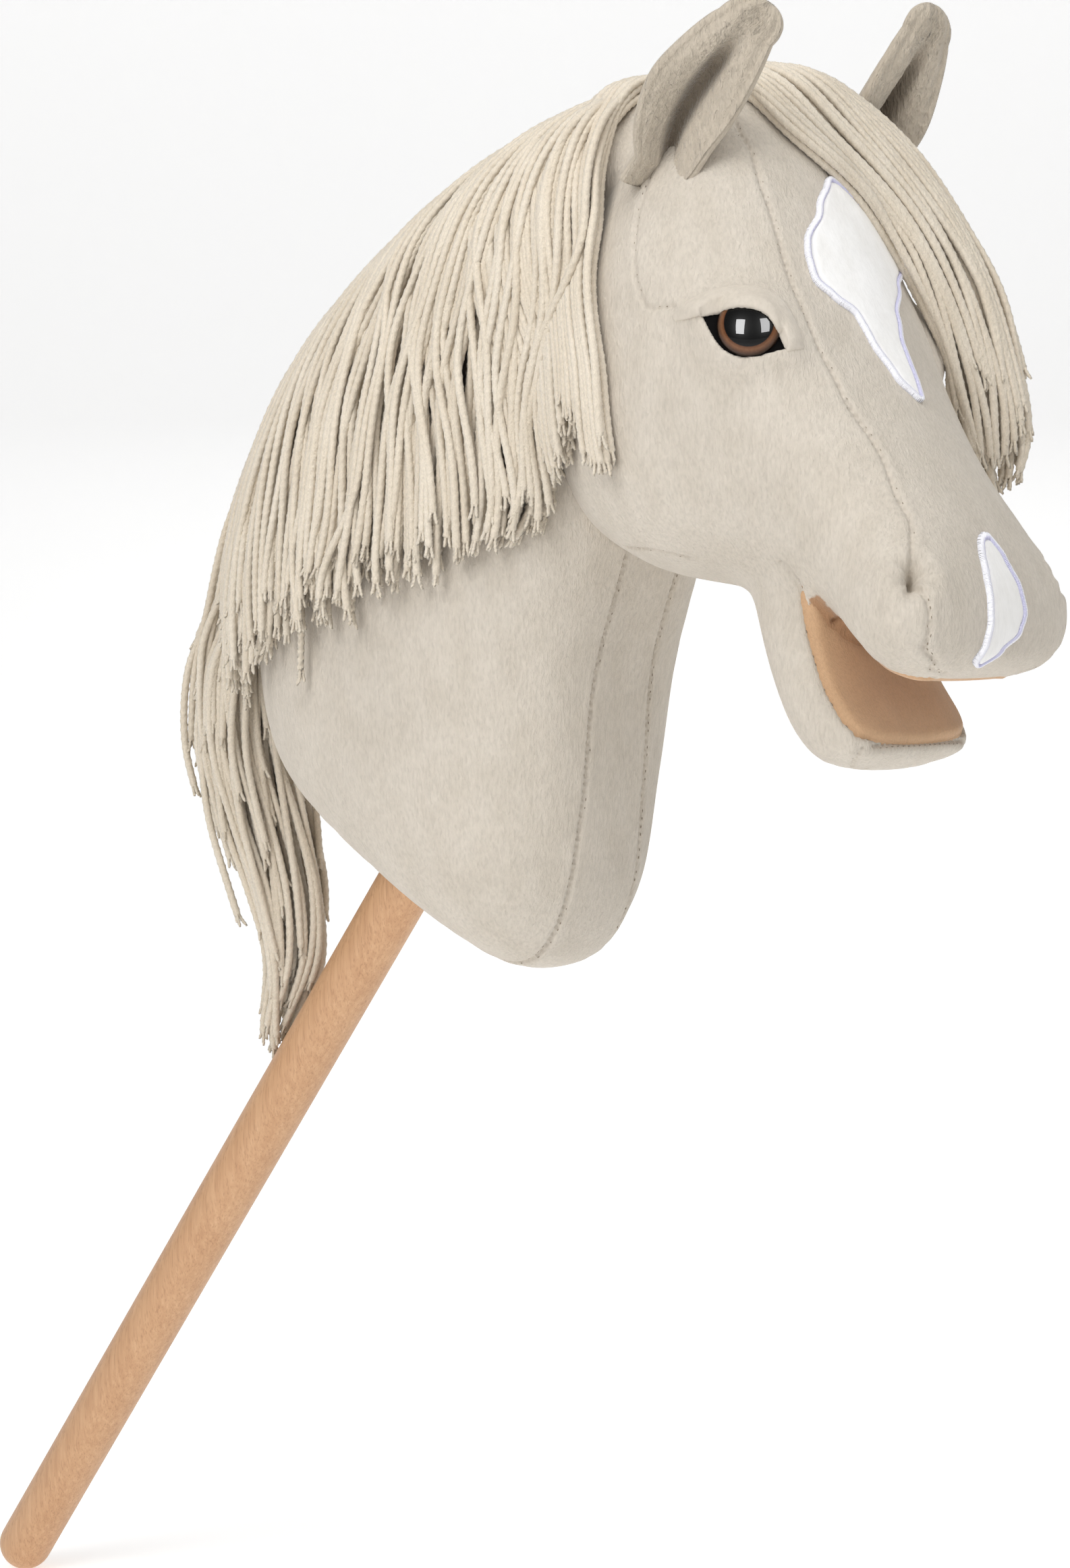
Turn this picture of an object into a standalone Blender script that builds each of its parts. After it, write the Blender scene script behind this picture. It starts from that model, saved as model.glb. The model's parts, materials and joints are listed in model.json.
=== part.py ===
"""Hobby horse: a stuffed plush horse's head and neck on a round wooden stick.

Frame: +X the way the horse faces, +Y the horse's left, +Z up. The origin is the middle of
the small flat on the stick's lower end. Metres.
"""
import bpy
import bmesh
import math
import numpy as np
from mathutils import Vector, Matrix, Quaternion

for old in list(bpy.data.objects):
    bpy.data.objects.remove(old)

# ------------------------------------------------------------------ driving dimensions (m)
GAP = 0.0003                       # air between neighbouring pieces
STICK_D = 0.028                    # round beech rod
STICK_LENGTH = 0.720               # 0.467 m of it shows below the neck
STICK_LEAN = math.radians(36.6)    # from upright, in the plane of symmetry
STICK_END_FLAT = 0.010             # diameter of the flat on the rounded lower end
SLEEVE_BORE = STICK_D + 0.0008
SLEEVE_WALL = 0.0022
SLEEVE_START = 0.503               # along the stick, from its lower end
CAP_THICK = 0.003
PLUSH = 0.0020                     # pile and backing together
STUFF = PLUSH + 0.0020             # how far the filling lies inside the outer face
CLEAR = 0.0009                     # space kept where one stuffed shape is sewn against another
SEAM = 0.00018                     # half of the air at a seam

EYE_D = 0.0265
EYE_HEIGHT = 0.0095
EYE_SHANK_D = 0.006
EYE_SHANK = 0.0145
WASHER_D = 0.018
WASHER_THICK = 0.0016
EYE_U, EYE_A = 0.386, 0.90          # place of the right eye on the head's surface

# Seams, as half-widths (m) or y (m, + left) along each shape
GUSSET = [(0.0, 0.011), (0.12, 0.026), (0.21, 0.0375), (0.28, 0.0420), (0.38, 0.0453), (0.42, 0.0450),
          (0.48, 0.0420), (0.56, 0.0380), (0.64, 0.0425), (0.73, 0.0545), (0.80, 0.0540),
          (0.86, 0.0540), (0.92, 0.0440), (1.0, 0.0285)]
UNDER = [(0.0, 0.012), (0.30, 0.0215), (0.62, 0.0215), (0.70, 0.034), (0.85, 0.047), (1.0, 0.0295)]
THROAT = [(0.0, 0.0030), (0.10, 0.0240), (0.30, 0.0240), (0.42, 0.0215), (0.55, 0.0200), (0.8, 0.020),
          (1.0, 0.010)]
LINING = [(0.0, 0.0285), (0.29, 0.0422), (0.64, 0.0446), (0.715, 0.0415), (0.755, 0.0325), (0.785, 0.004)]
LINING_END = 0.785
CHIN = 0.0215
BLAZE_RIGHT = [(0.268, -0.0015), (0.303, -0.0160), (0.332, -0.0300), (0.345, -0.0325), (0.371, -0.0336),
               (0.390, -0.0270), (0.410, -0.0178), (0.439, -0.0158), (0.480, -0.0100), (0.506, -0.0010)]
BLAZE_LEFT = [(0.268, 0.0015), (0.290, 0.0150), (0.315, 0.0330), (0.345, 0.0385), (0.371, 0.0251),
              (0.410, 0.0106), (0.444, 0.0045), (0.475, 0.0035), (0.506, 0.0010)]
SNIP_RIGHT = [(0.690, -0.0065), (0.700, -0.0108), (0.723, -0.0138), (0.765, -0.0160), (0.826, -0.0176),
              (0.873, -0.0193), (0.917, -0.0214), (0.938, -0.0185)]
SNIP_LEFT = [(0.690, -0.0035), (0.723, 0.0019), (0.774, 0.0070), (0.810, 0.0080), (0.849, 0.0040),
             (0.886, -0.0070), (0.938, -0.0165)]

# Each ear: middle of the base, tip, direction that the open side faces
EAR_RIGHT = ((0.4808, -0.0583, 0.6977), (0.5385, -0.0585, 0.7600), (0.45, -0.83, -0.33))
EAR_LEFT = ((0.4967, 0.0535, 0.7015), (0.5400, 0.0590, 0.7770), (0.90, -0.25, -0.12))
EAR_WIDTH = [(0.0, 0.0165), (0.10, 0.0198), (0.245, 0.0216), (0.416, 0.0222), (0.60, 0.0192), (0.80, 0.0138),
             (0.90, 0.0092), (1.0, 0.0023)]
EAR_BOW = [(0.0, 0.0), (0.10, 0.0030), (0.245, 0.0058), (0.416, 0.0068), (0.60, 0.0062), (0.80, 0.0050),
           (0.90, 0.0036), (1.0, 0.0)]
EAR_BOW_RIGHT, EAR_BOW_LEFT = -1.0, 0.6    # which way, and how far, each ear curves across itself
EAR_FOLD = [(0.0, 1.45), (0.35, 1.10), (0.7, 0.85), (1.0, 0.55)]
EAR_CLEAR = 0.0036                 # air under an ear, so that it can lean over

EAR_SWING = 20.0                   # degrees each way about the seam that holds an ear

TAPE_HALF = 0.007
MANE_THICK = 0.0105
MANE_OUTLINE = [(0.452, 0.80), (0.452, 0.610), (0.441, 0.578), (0.402, 0.557), (0.345, 0.536),
                (0.300, 0.529), (0.276, 0.511), (0.240, 0.5085), (0.120, 0.5085), (0.120, 0.80)]
# lock that hangs behind the neck: front x, z  back x, z  half-width, and the shape of the section
TUFT = [
    (0.2010, 0.5076, 0.164, 0.5076, 0.020, 0.5, 2.0, 2.0),
    (0.2000, 0.480, 0.154, 0.480, 0.024, 0.5, 2.0, 2.0),
    (0.2040, 0.445, 0.149, 0.445, 0.025, 0.5, 2.0, 2.0),
    (0.2140, 0.410, 0.155, 0.410, 0.024, 0.5, 2.0, 2.0),
    (0.2210, 0.375, 0.173, 0.375, 0.021, 0.5, 2.0, 2.0),
    (0.2200, 0.340, 0.189, 0.340, 0.016, 0.5, 2.0, 2.0),
    (0.2060, 0.308, 0.191, 0.308, 0.009, 0.5, 2.0, 2.0),
    (0.1980, 0.291, 0.194, 0.291, 0.003, 0.5, 2.0, 2.0),
]
# lock that falls from the poll to the left of the face: edge near the middle x, y, z
# edge on the outside x, y, z   half-thickness
FORELOCK = [
    (0.4660, -0.018, 0.7440, 0.4660, 0.020, 0.7440, 0.0050),
    (0.4990, -0.013, 0.7390, 0.5040, 0.029, 0.7430, 0.0080),
    (0.5180, -0.006, 0.7120, 0.5290, 0.052, 0.7180, 0.0095),
    (0.5330, 0.021, 0.6850, 0.5500, 0.070, 0.6800, 0.0100),
    (0.5430, 0.038, 0.6550, 0.5640, 0.082, 0.6480, 0.0100),
    (0.5490, 0.052, 0.6220, 0.5710, 0.087, 0.6170, 0.0095),
    (0.5530, 0.063, 0.5920, 0.5730, 0.088, 0.5890, 0.0080),
    (0.5580, 0.073, 0.5650, 0.5690, 0.084, 0.5640, 0.0030),
]

AXIS = Vector((math.sin(STICK_LEAN), 0.0, math.cos(STICK_LEAN)))

# Stations of the three stuffed volumes. Each row is one cross-section:
# front x, z   back x, z   half-width   widest point (0 back, 1 front)   squareness front, back
NECK = [
    (0.345, 0.353, 0.243, 0.421, 0.0030, 0.50, 2.0, 2.0),
    (0.366, 0.345, 0.227, 0.433, 0.0360, 0.50, 2.4, 2.2),
    (0.388, 0.351, 0.214, 0.455, 0.0570, 0.50, 2.6, 2.2),
    (0.405, 0.381, 0.209, 0.490, 0.0690, 0.50, 2.7, 2.2),
    (0.412, 0.430, 0.211, 0.536, 0.0730, 0.50, 2.9, 2.2),
    (0.417, 0.484, 0.226, 0.584, 0.0740, 0.50, 3.4, 2.1),
    (0.434, 0.536, 0.258, 0.629, 0.0700, 0.50, 3.4, 2.1),
    (0.452, 0.595, 0.304, 0.667, 0.0610, 0.50, 2.6, 2.1),
    (0.466, 0.640, 0.355, 0.697, 0.0500, 0.50, 2.2, 2.1),
    (0.472, 0.676, 0.401, 0.714, 0.0380, 0.50, 2.1, 2.1),
    (0.470, 0.698, 0.431, 0.718, 0.0140, 0.50, 2.0, 2.0),
]
HEAD = [
    (0.462, 0.741, 0.442, 0.722, 0.0120, 0.50, 2.0, 2.0),
    (0.484, 0.743, 0.420, 0.686, 0.0400, 0.50, 2.2, 2.1),
    (0.504, 0.729, 0.402, 0.634, 0.0600, 0.50, 2.4, 2.2),
    (0.523, 0.703, 0.400, 0.586, 0.0730, 0.48, 2.6, 2.3),
    (0.539, 0.668, 0.416, 0.549, 0.0780, 0.47, 2.6, 2.3),
    (0.555, 0.634, 0.448, 0.529, 0.0750, 0.46, 2.6, 2.3),
    (0.572, 0.602, 0.487, 0.521, 0.0660, 0.46, 2.5, 2.2),
    (0.589, 0.574, 0.521, 0.517, 0.0580, 0.48, 2.5, 2.2),
    (0.605, 0.549, 0.547, 0.509, 0.0590, 0.50, 2.7, 2.3),
    (0.616, 0.526, 0.565, 0.497, 0.0650, 0.50, 3.0, 2.4),
    (0.620, 0.506, 0.578, 0.487, 0.0620, 0.50, 3.0, 2.4),
    (0.616, 0.491, 0.588, 0.482, 0.0480, 0.50, 2.6, 2.3),
    (0.606, 0.4845, 0.600, 0.4822, 0.0300, 0.50, 2.0, 2.0),
]
JAW = [
    (0.545, 0.556, 0.500, 0.556, 0.0300, 0.50, 2.0, 2.0),
    (0.556, 0.532, 0.498, 0.532, 0.0440, 0.50, 2.3, 2.2),
    (0.554, 0.508, 0.507, 0.506, 0.0470, 0.55, 2.6, 2.3),
    (0.560, 0.484, 0.517, 0.480, 0.0490, 0.60, 3.2, 2.4),
    (0.572, 0.466, 0.5275, 0.459, 0.0495, 0.60, 3.3, 2.4),
    (0.577, 0.4525, 0.541, 0.446, 0.0450, 0.60, 3.0, 2.3),
    (0.566, 0.4440, 0.554, 0.4425, 0.0180, 0.50, 2.0, 2.0),
]
# The mane lies on this shape: the neck, widened where the back of the head bulges out of it.
CURTAIN = [
    (0.388, 0.353, 0.207, 0.452, 0.0580, 0.50, 2.6, 2.2),
    (0.404, 0.383, 0.204, 0.489, 0.0710, 0.50, 2.8, 2.2),
    (0.411, 0.430, 0.206, 0.539, 0.0750, 0.50, 2.8, 2.2),
    (0.421, 0.485, 0.2215, 0.588, 0.0760, 0.50, 2.7, 2.1),
    (0.436, 0.540, 0.2545, 0.6335, 0.0740, 0.50, 2.4, 2.1),
    (0.462, 0.600, 0.3015, 0.6715, 0.0710, 0.50, 2.3, 2.1),
    (0.484, 0.650, 0.353, 0.7015, 0.0670, 0.50, 2.2, 2.1),
    (0.500, 0.690, 0.404, 0.7225, 0.0520, 0.45, 2.1, 2.1),
    (0.506, 0.710, 0.436, 0.730, 0.0300, 0.45, 2.0, 2.0),
]


# ------------------------------------------------------------------ shape functions
def curved(keys, u):
    """Value at u of a list of (u, value) keys, on one smooth curve through them all."""
    if u <= keys[0][0]:
        return keys[0][1]
    if u >= keys[-1][0]:
        return keys[-1][1]
    i = max(k for k in range(len(keys) - 1) if keys[k][0] <= u)

    def slope(k):
        a, b = keys[max(k - 1, 0)], keys[min(k + 1, len(keys) - 1)]
        return (b[1] - a[1]) / (b[0] - a[0])
    (u0, v0), (u1, v1) = keys[i], keys[i + 1]
    h = u1 - u0
    t = (u - u0) / h
    return v0 * (2 * t ** 3 - 3 * t * t + 1) + h * slope(i) * (t ** 3 - 2 * t * t + t) \
        + v1 * (3 * t * t - 2 * t ** 3) + h * slope(i + 1) * (t ** 3 - t * t)


def between(keys, u):
    """Value at u of a list of (u, value) keys, eased smoothly from one to the next."""
    if u <= keys[0][0]:
        return keys[0][1]
    for (u0, v0), (u1, v1) in zip(keys, keys[1:]):
        if u <= u1:
            t = (u - u0) / (u1 - u0)
            t = t * t * (3 - 2 * t)
            return v0 + (v1 - v0) * t
    return keys[-1][1]


class Loft:
    """A closed soft shape through cross-sections, read at u (0..1 along) and a (0 front, pi back)."""

    def __init__(self, rows):
        self.rows = np.array(rows, float)
        self.last = len(rows) - 1

    def row(self, u):
        t = min(max(u, 0.0), 1.0) * self.last
        i = min(int(t), self.last - 1)
        t -= i
        r = self.rows
        p1, p2 = r[i], r[i + 1]
        p0 = r[i - 1] if i > 0 else 2 * p1 - p2
        p3 = r[i + 2] if i + 2 <= self.last else 2 * p2 - p1
        return 0.5 * (2 * p1 + (p2 - p0) * t + (2 * p0 - 5 * p1 + 4 * p2 - p3) * t * t
                      + (3 * p1 - p0 - 3 * p2 + p3) * t ** 3)

    def angle_at(self, u, y):
        """Ring angle in front of the widest point where the surface is y from the middle."""
        r = self.row(u)
        return math.asin(min(1.0, (abs(y) / r[4])) ** (r[6] / 2))

    def angle_behind(self, u, y):
        r = self.row(u)
        return math.pi - math.asin(min(1.0, (abs(y) / r[4])) ** (r[7] / 2))

    def bare(self, u, a):
        fx, fz, bx, bz, w, c, nf, nb = self.row(u)
        ca, sa = math.cos(a), math.sin(a)
        mx, mz = bx + c * (fx - bx), bz + c * (fz - bz)
        n = nf if ca > 0 else nb
        k = abs(ca) ** (2 / n)
        ex, ez = (fx, fz) if ca > 0 else (bx, bz)
        return np.array([mx + (ex - mx) * k,
                         -math.copysign(w * abs(sa) ** (2 / n), sa),
                         mz + (ez - mz) * k])

    def normal(self, u, a):
        h = 0.012
        u0, u1 = max(0.0, u - h), min(1.0, u + h)
        du = self.bare(u1, a) - self.bare(u0, a)
        da = self.bare(u, a + 0.02) - self.bare(u, a - 0.02)
        n = np.cross(du, da)
        r = self.row(u)
        inside = np.array([0.5 * (r[0] + r[2]), 0.0, 0.5 * (r[1] + r[3])])
        if np.dot(n, self.bare(u, a) - inside) < 0:
            n = -n
        size = np.linalg.norm(n)
        return n / size if size > 1e-12 else n

    def at(self, u, a, out=0.0):
        """Point at (u, a), moved out of the surface by out; positive a is the right-hand side."""
        p = self.bare(u, a)
        return p + self.normal(u, a) * out if out else p

    def solid(self, out, nu, na, u0=0.0, u1=1.0):
        """The whole volume, grown by out (or shrunk, if negative), with rounded poles."""
        v, f = [], []
        for i in range(nu + 1):
            u = u0 + (u1 - u0) * i / nu
            for j in range(na):
                v.append(self.at(u, 2 * math.pi * j / na, out))
        for i in range(nu):
            for j in range(na):
                a, b = i * na + j, i * na + (j + 1) % na
                f.append((a, a + na, b + na, b))
        for i, step in ((0, -1), (nu, 1)):
            ring = v[i * na:(i + 1) * na]
            inner = v[(i - step) * na:(i - step) * na + na]
            mid = np.mean(ring, axis=0)
            way = mid - np.mean(inner, axis=0)
            v.append(mid + way / np.linalg.norm(way) * 0.0006)
            pole = len(v) - 1
            for j in range(na):
                f.append((i * na + j, i * na + (j + 1) % na, pole))
        return v, f

    def patch(self, us, low, high, inner, outer, na):
        """A sheet between two offsets of the surface; low and high give its edges in a at u."""
        top, bottom = [], []
        for i, u in enumerate(us):
            lo, hi = low(u), high(u)
            for j in range(na + 1):
                t = j / na
                a = lo + (hi - lo) * t
                thick = outer(i / (len(us) - 1), t) if callable(outer) else outer
                top.append(self.at(u, a, thick))
                bottom.append(self.at(u, a, inner))
        n, m = len(us), na + 1
        v = top + bottom
        k = n * m
        f = []
        for i in range(n - 1):
            for j in range(na):
                a, b, c, d = i * m + j, i * m + j + 1, (i + 1) * m + j + 1, (i + 1) * m + j
                f += [(a, b, c, d), (k + a, k + d, k + c, k + b)]
        edge = [(i, 0) for i in range(n)] + [(n - 1, j) for j in range(1, m)]
        edge += [(i, na) for i in range(n - 2, -1, -1)] + [(0, j) for j in range(na - 1, 0, -1)]
        loop = [i * m + j for i, j in edge]
        for a, b in zip(loop, loop[1:] + loop[:1]):
            f.append((a, b, k + b, k + a))
        return v, f


def front_edge(loft, keys, extra):
    """Ring angle of a seam on the front half, as a function of u."""
    return lambda u: loft.angle_at(u, between(keys, u) + extra)


def back_edge(loft, keys, extra):
    return lambda u: loft.angle_behind(u, between(keys, u) + extra)


def spread(lo, hi, n):
    return [lo + (hi - lo) * i / n for i in range(n + 1)]


# ------------------------------------------------------------------ object helpers
SCENE = bpy.context.scene.collection


def material(name, colour, rough=0.8, metal=0.0, sheen=0.0):
    mat = bpy.data.materials.new(name)
    mat.use_nodes = True
    shader = mat.node_tree.nodes["Principled BSDF"]
    shader.inputs["Base Color"].default_value = (*colour, 1.0)
    shader.inputs["Roughness"].default_value = rough
    shader.inputs["Metallic"].default_value = metal
    shader.inputs["Sheen Weight"].default_value = sheen
    mat.diffuse_color = (*colour, 1.0)
    return mat


BEIGE = (0.66, 0.60, 0.51)
CREAM = (0.78, 0.70, 0.58)


def tidy(bm):
    """Joins doubled points, drops needle triangles and turns every face outward."""
    bmesh.ops.triangulate(bm, faces=bm.faces[:])
    for _ in range(3):
        bmesh.ops.remove_doubles(bm, verts=bm.verts[:], dist=2e-5)
        bmesh.ops.dissolve_degenerate(bm, dist=2e-5, edges=bm.edges[:])
    bmesh.ops.triangulate(bm, faces=bm.faces[:])
    bmesh.ops.recalc_face_normals(bm, faces=bm.faces[:])


def make(name, shape, mat=None, smooth=40):
    v, f = shape
    mesh = bpy.data.meshes.new(name)
    mesh.from_pydata([tuple(p) for p in v], [], f)
    bm = bmesh.new()
    bm.from_mesh(mesh)
    tidy(bm)
    if bm.calc_volume(signed=True) < 0:
        bmesh.ops.reverse_faces(bm, faces=bm.faces[:])
    bm.to_mesh(mesh)
    bm.free()
    obj = bpy.data.objects.new(name, mesh)
    SCENE.objects.link(obj)
    if mat:
        mesh.materials.append(mat)
    mesh.shade_smooth()
    mesh.set_sharp_from_angle(angle=math.radians(smooth))
    return obj


def cut(obj, other, how="DIFFERENCE", keep_other=True, solver="EXACT"):
    """Applies a Boolean to obj at once, so that later cuts start from its result."""
    mod = obj.modifiers.new("cut", "BOOLEAN")
    mod.operation, mod.solver, mod.object = how, solver, other
    deps = bpy.context.evaluated_depsgraph_get()
    deps.update()
    mesh = bpy.data.meshes.new_from_object(obj.evaluated_get(deps))
    obj.modifiers.clear()
    before = obj.data
    obj.data = mesh
    bpy.data.meshes.remove(before)
    bm = bmesh.new()
    bm.from_mesh(mesh)
    tidy(bm)
    bm.to_mesh(mesh)
    bm.free()
    if not keep_other:
        drop(other)
    return obj


def drop(obj):
    mesh = obj.data
    bpy.data.objects.remove(obj)
    bpy.data.meshes.remove(mesh)


def largest(obj):
    """Keeps the one body with the most volume."""
    bm = bmesh.new()
    bm.from_mesh(obj.data)
    todo, groups = set(bm.verts), []
    while todo:
        stack, group = [todo.pop()], []
        while stack:
            vert = stack.pop()
            group.append(vert)
            for edge in vert.link_edges:
                far = edge.other_vert(vert)
                if far in todo:
                    todo.remove(far)
                    stack.append(far)
        groups.append(group)

    def size(group):
        lo = [min(v.co[k] for v in group) for k in range(3)]
        hi = [max(v.co[k] for v in group) for k in range(3)]
        return math.dist(lo, hi)
    groups.sort(key=size, reverse=True)
    extra = [v for group in groups[1:] for v in group]
    if extra:
        bmesh.ops.delete(bm, geom=extra, context="VERTS")
    bm.to_mesh(obj.data)
    bm.free()
    return obj


def mirrored(obj, name, mat):
    """The left-hand twin of a right-hand piece."""
    mesh = obj.data.copy()
    mesh.name = name
    bm = bmesh.new()
    bm.from_mesh(mesh)
    for vert in bm.verts:
        vert.co.y = -vert.co.y
    bmesh.ops.reverse_faces(bm, faces=bm.faces[:])
    bm.to_mesh(mesh)
    bm.free()
    twin = bpy.data.objects.new(name, mesh)
    SCENE.objects.link(twin)
    mesh.materials.clear()
    mesh.materials.append(mat)
    return twin


def paint(obj, mat, smooth=40):
    obj.data.materials.clear()
    obj.data.materials.append(mat)
    for poly in obj.data.polygons:
        poly.material_index = 0
    obj.data.shade_smooth()
    obj.data.set_sharp_from_angle(angle=math.radians(smooth))


def turned(profile, origin, axis, sides, ring=False):
    """A solid of revolution: profile is (radius, height) from bottom to top, radius 0 at a pole.

    With ring, the profile is a closed loop round the axis.
    """
    axis = Vector(axis).normalized()
    side = axis.orthogonal().normalized()
    over = axis.cross(side)
    origin = Vector(origin)
    v, f, rings = [], [], []
    for r, h in profile:
        if r < 1e-9:
            rings.append([len(v)])
            v.append(origin + axis * h)
            continue
        rings.append(list(range(len(v), len(v) + sides)))
        for j in range(sides):
            t = 2 * math.pi * j / sides
            v.append(origin + axis * h + (side * math.cos(t) + over * math.sin(t)) * r)
    pairs = list(zip(rings, rings[1:]))
    for low, high in pairs:
        for j in range(sides):
            k = (j + 1) % sides
            if len(low) == 1:
                f.append((low[0], high[k], high[j]))
            elif len(high) == 1:
                f.append((low[j], low[k], high[0]))
            else:
                f.append((low[j], low[k], high[k], high[j]))
    if ring:
        low, high = rings[-1], rings[0]
        f += [(low[j], low[(j + 1) % sides], high[(j + 1) % sides], high[j]) for j in range(sides)]
        return v, f
    for end, first in ((rings[0], True), (rings[-1], False)):
        if len(end) > 1:
            f.append(tuple(reversed(end)) if first else tuple(end))
    return v, f


def tube(r_in, r_out, start, end, sides):
    """An open pipe round the stick's axis."""
    side = AXIS.orthogonal().normalized()
    over = AXIS.cross(side)
    v, f = [], []
    for r, h in ((r_out, start), (r_out, end), (r_in, end), (r_in, start)):
        for j in range(sides):
            t = 2 * math.pi * j / sides
            v.append(AXIS * h + (side * math.cos(t) + over * math.sin(t)) * r)
    for ring in range(4):
        for j in range(sides):
            k = (j + 1) % sides
            a, b = ring * sides, ((ring + 1) % 4) * sides
            f.append((a + j, a + k, b + k, b + j))
    return v, f


def prism(outline, origin, across, up, depth_in, depth_out):
    """An outline in a plane, pushed both ways along the plane's normal."""
    across, up = Vector(across).normalized(), Vector(up).normalized()
    out = across.cross(up)
    origin = Vector(origin)
    low = [origin + across * x + up * y - out * depth_in for x, y in outline]
    high = [origin + across * x + up * y + out * depth_out for x, y in outline]
    n = len(outline)
    f = [tuple(reversed(range(n))), tuple(range(n, 2 * n))]
    f += [(i, (i + 1) % n, n + (i + 1) % n, n + i) for i in range(n)]
    return low + high, f


neck, head, jaw, curtain = Loft(NECK), Loft(HEAD), Loft(JAW), Loft(CURTAIN)

# ------------------------------------------------------------------ stick, sleeve
r = STICK_D / 2
tip = [(STICK_END_FLAT / 2, 0.0)]
flat_angle = math.asin(STICK_END_FLAT / 2 / r)
base = r * math.cos(flat_angle)
for i in range(1, 6):
    t = flat_angle + (math.pi / 2 - flat_angle) * i / 5
    tip.append((r * math.sin(t), base - r * math.cos(t)))
tip += [(r, STICK_LENGTH - 0.003), (r - 0.003, STICK_LENGTH)]
make("stick", turned(tip, (0, 0, 0), AXIS, 28), material("beech", (0.69, 0.45, 0.26), 0.5))

r_sleeve = SLEEVE_BORE / 2 + SLEEVE_WALL
sleeve_end = STICK_LENGTH + 0.001
make("stick_sleeve", tube(SLEEVE_BORE / 2, r_sleeve, SLEEVE_START, sleeve_end, 28),
     material("sleeve_cotton", (0.75, 0.71, 0.63), 0.9))
make("sleeve_cap", turned([(r_sleeve, sleeve_end + GAP), (r_sleeve, sleeve_end + GAP + CAP_THICK)],
                          (0, 0, 0), AXIS, 28), material("cap_cotton", (0.70, 0.66, 0.58), 0.9))

# ------------------------------------------------------------------ working volumes
neck_grown = make("w_neck_grown", neck.solid(CLEAR, 20, 28))
head_grown = make("w_head_grown", head.solid(CLEAR, 26, 28))
jaw_grown = make("w_jaw_grown", jaw.solid(CLEAR, 12, 24))
head_inner = make("w_head_inner", head.solid(-PLUSH - 0.0011, 26, 28, 0.02, 0.985))
jaw_inner = make("w_jaw_inner", jaw.solid(-PLUSH - 0.0011, 12, 24, 0.0, 0.985))
pipe_space = make("w_pipe_space", turned(
    [(r_sleeve + GAP, SLEEVE_START - GAP), (r_sleeve + GAP, sleeve_end + CAP_THICK + 2 * GAP)],
    (0, 0, 0), AXIS, 28))
rod_space = make("w_rod_space", turned(
    [(STICK_D / 2 + 0.0009, 0.40), (STICK_D / 2 + 0.0009, STICK_LENGTH - 0.01)], (0, 0, 0), AXIS, 28))

# ------------------------------------------------------------------ where an eye sits
eye_point = head.at(EYE_U, EYE_A)
eye_out = Vector(head.normal(EYE_U, EYE_A))
eye_up = (Vector((0, 0, 1)) - eye_out * eye_out.z).normalized()
eye_across = eye_up.cross(eye_out)
DOME_BASE = 0.0024                 # flat back of the dome above the face at the eye's centre


def eye_shape(grow=0.0, shank=True):
    rr, top = EYE_D / 2 + grow, EYE_HEIGHT + grow
    out = []
    if shank:
        out += [(EYE_SHANK_D / 2, -EYE_SHANK), (EYE_SHANK_D / 2, DOME_BASE)]
    out += [(rr - 0.0008, DOME_BASE - grow), (rr, DOME_BASE + 0.0008)]
    n = 5
    for i in range(1, n):
        t = math.pi / 2 * i / n
        out.append((rr * math.cos(t), DOME_BASE + 0.0008 + (top - DOME_BASE - 0.0008) * math.sin(t)))
    out.append((0.0, top))
    return out


shank_hole = make("w_shank_hole", turned(
    [(EYE_SHANK_D / 2 + 0.0005, -0.012), (EYE_SHANK_D / 2 + 0.0005, 0.008)],
    eye_point, eye_out, 16))
washer_space = make("w_washer_space", turned(
    [(WASHER_D / 2 + 0.0008, -EYE_SHANK - 0.0012), (WASHER_D / 2 + 0.0008, 0.006)],
    eye_point, eye_out, 20))
washer_space_left = mirrored(washer_space, "w_washer_space_left", bpy.data.materials.new("w"))

# ------------------------------------------------------------------ filling
stuffing = material("stuffing", (0.90, 0.89, 0.86), 1.0)
head_fill_space = make("w_head_fill_space", head.solid(-STUFF + 0.0006, 20, 24, 0.03, 0.98))
head_fill = make("head_filling", head.solid(-STUFF, 20, 24, 0.03, 0.98), stuffing)
cut(head_fill, pipe_space)
cut(head_fill, washer_space)
cut(head_fill, washer_space_left)
paint(largest(head_fill), stuffing)
neck_fill = make("neck_filling", neck.solid(-STUFF - 0.0008, 14, 26, 0.078, 1.0), stuffing)
cut(neck_fill, head_fill_space)
cut(neck_fill, pipe_space)
cut(neck_fill, rod_space)
paint(largest(neck_fill), stuffing)
jaw_fill = make("jaw_filling", jaw.solid(-STUFF, 9, 20, 0.0, 0.95), stuffing)
cut(jaw_fill, head_fill_space)
paint(largest(jaw_fill), stuffing)

# ------------------------------------------------------------------ covers
plush = {}
for piece in ("face_panel_right", "face_panel_left", "neck_panel_right", "neck_panel_left",
              "forehead_gusset", "chin_gusset", "throat_gusset"):
    plush[piece] = material(piece + "_plush", BEIGE, 0.92, 0.0, 0.4)
short_pile = material("mouth_short_pile", (0.52, 0.36, 0.24), 0.95)

hu = spread(0.0, 1.0, 19)
ju = spread(0.0, 0.64, 7) + [0.68, 0.715, 0.740, 0.760, LINING_END, 0.86, 0.93, 1.0]
nu = spread(0.0, 1.0, 15)
chin_keys = [(0.0, CHIN), (1.0, CHIN)]

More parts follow.
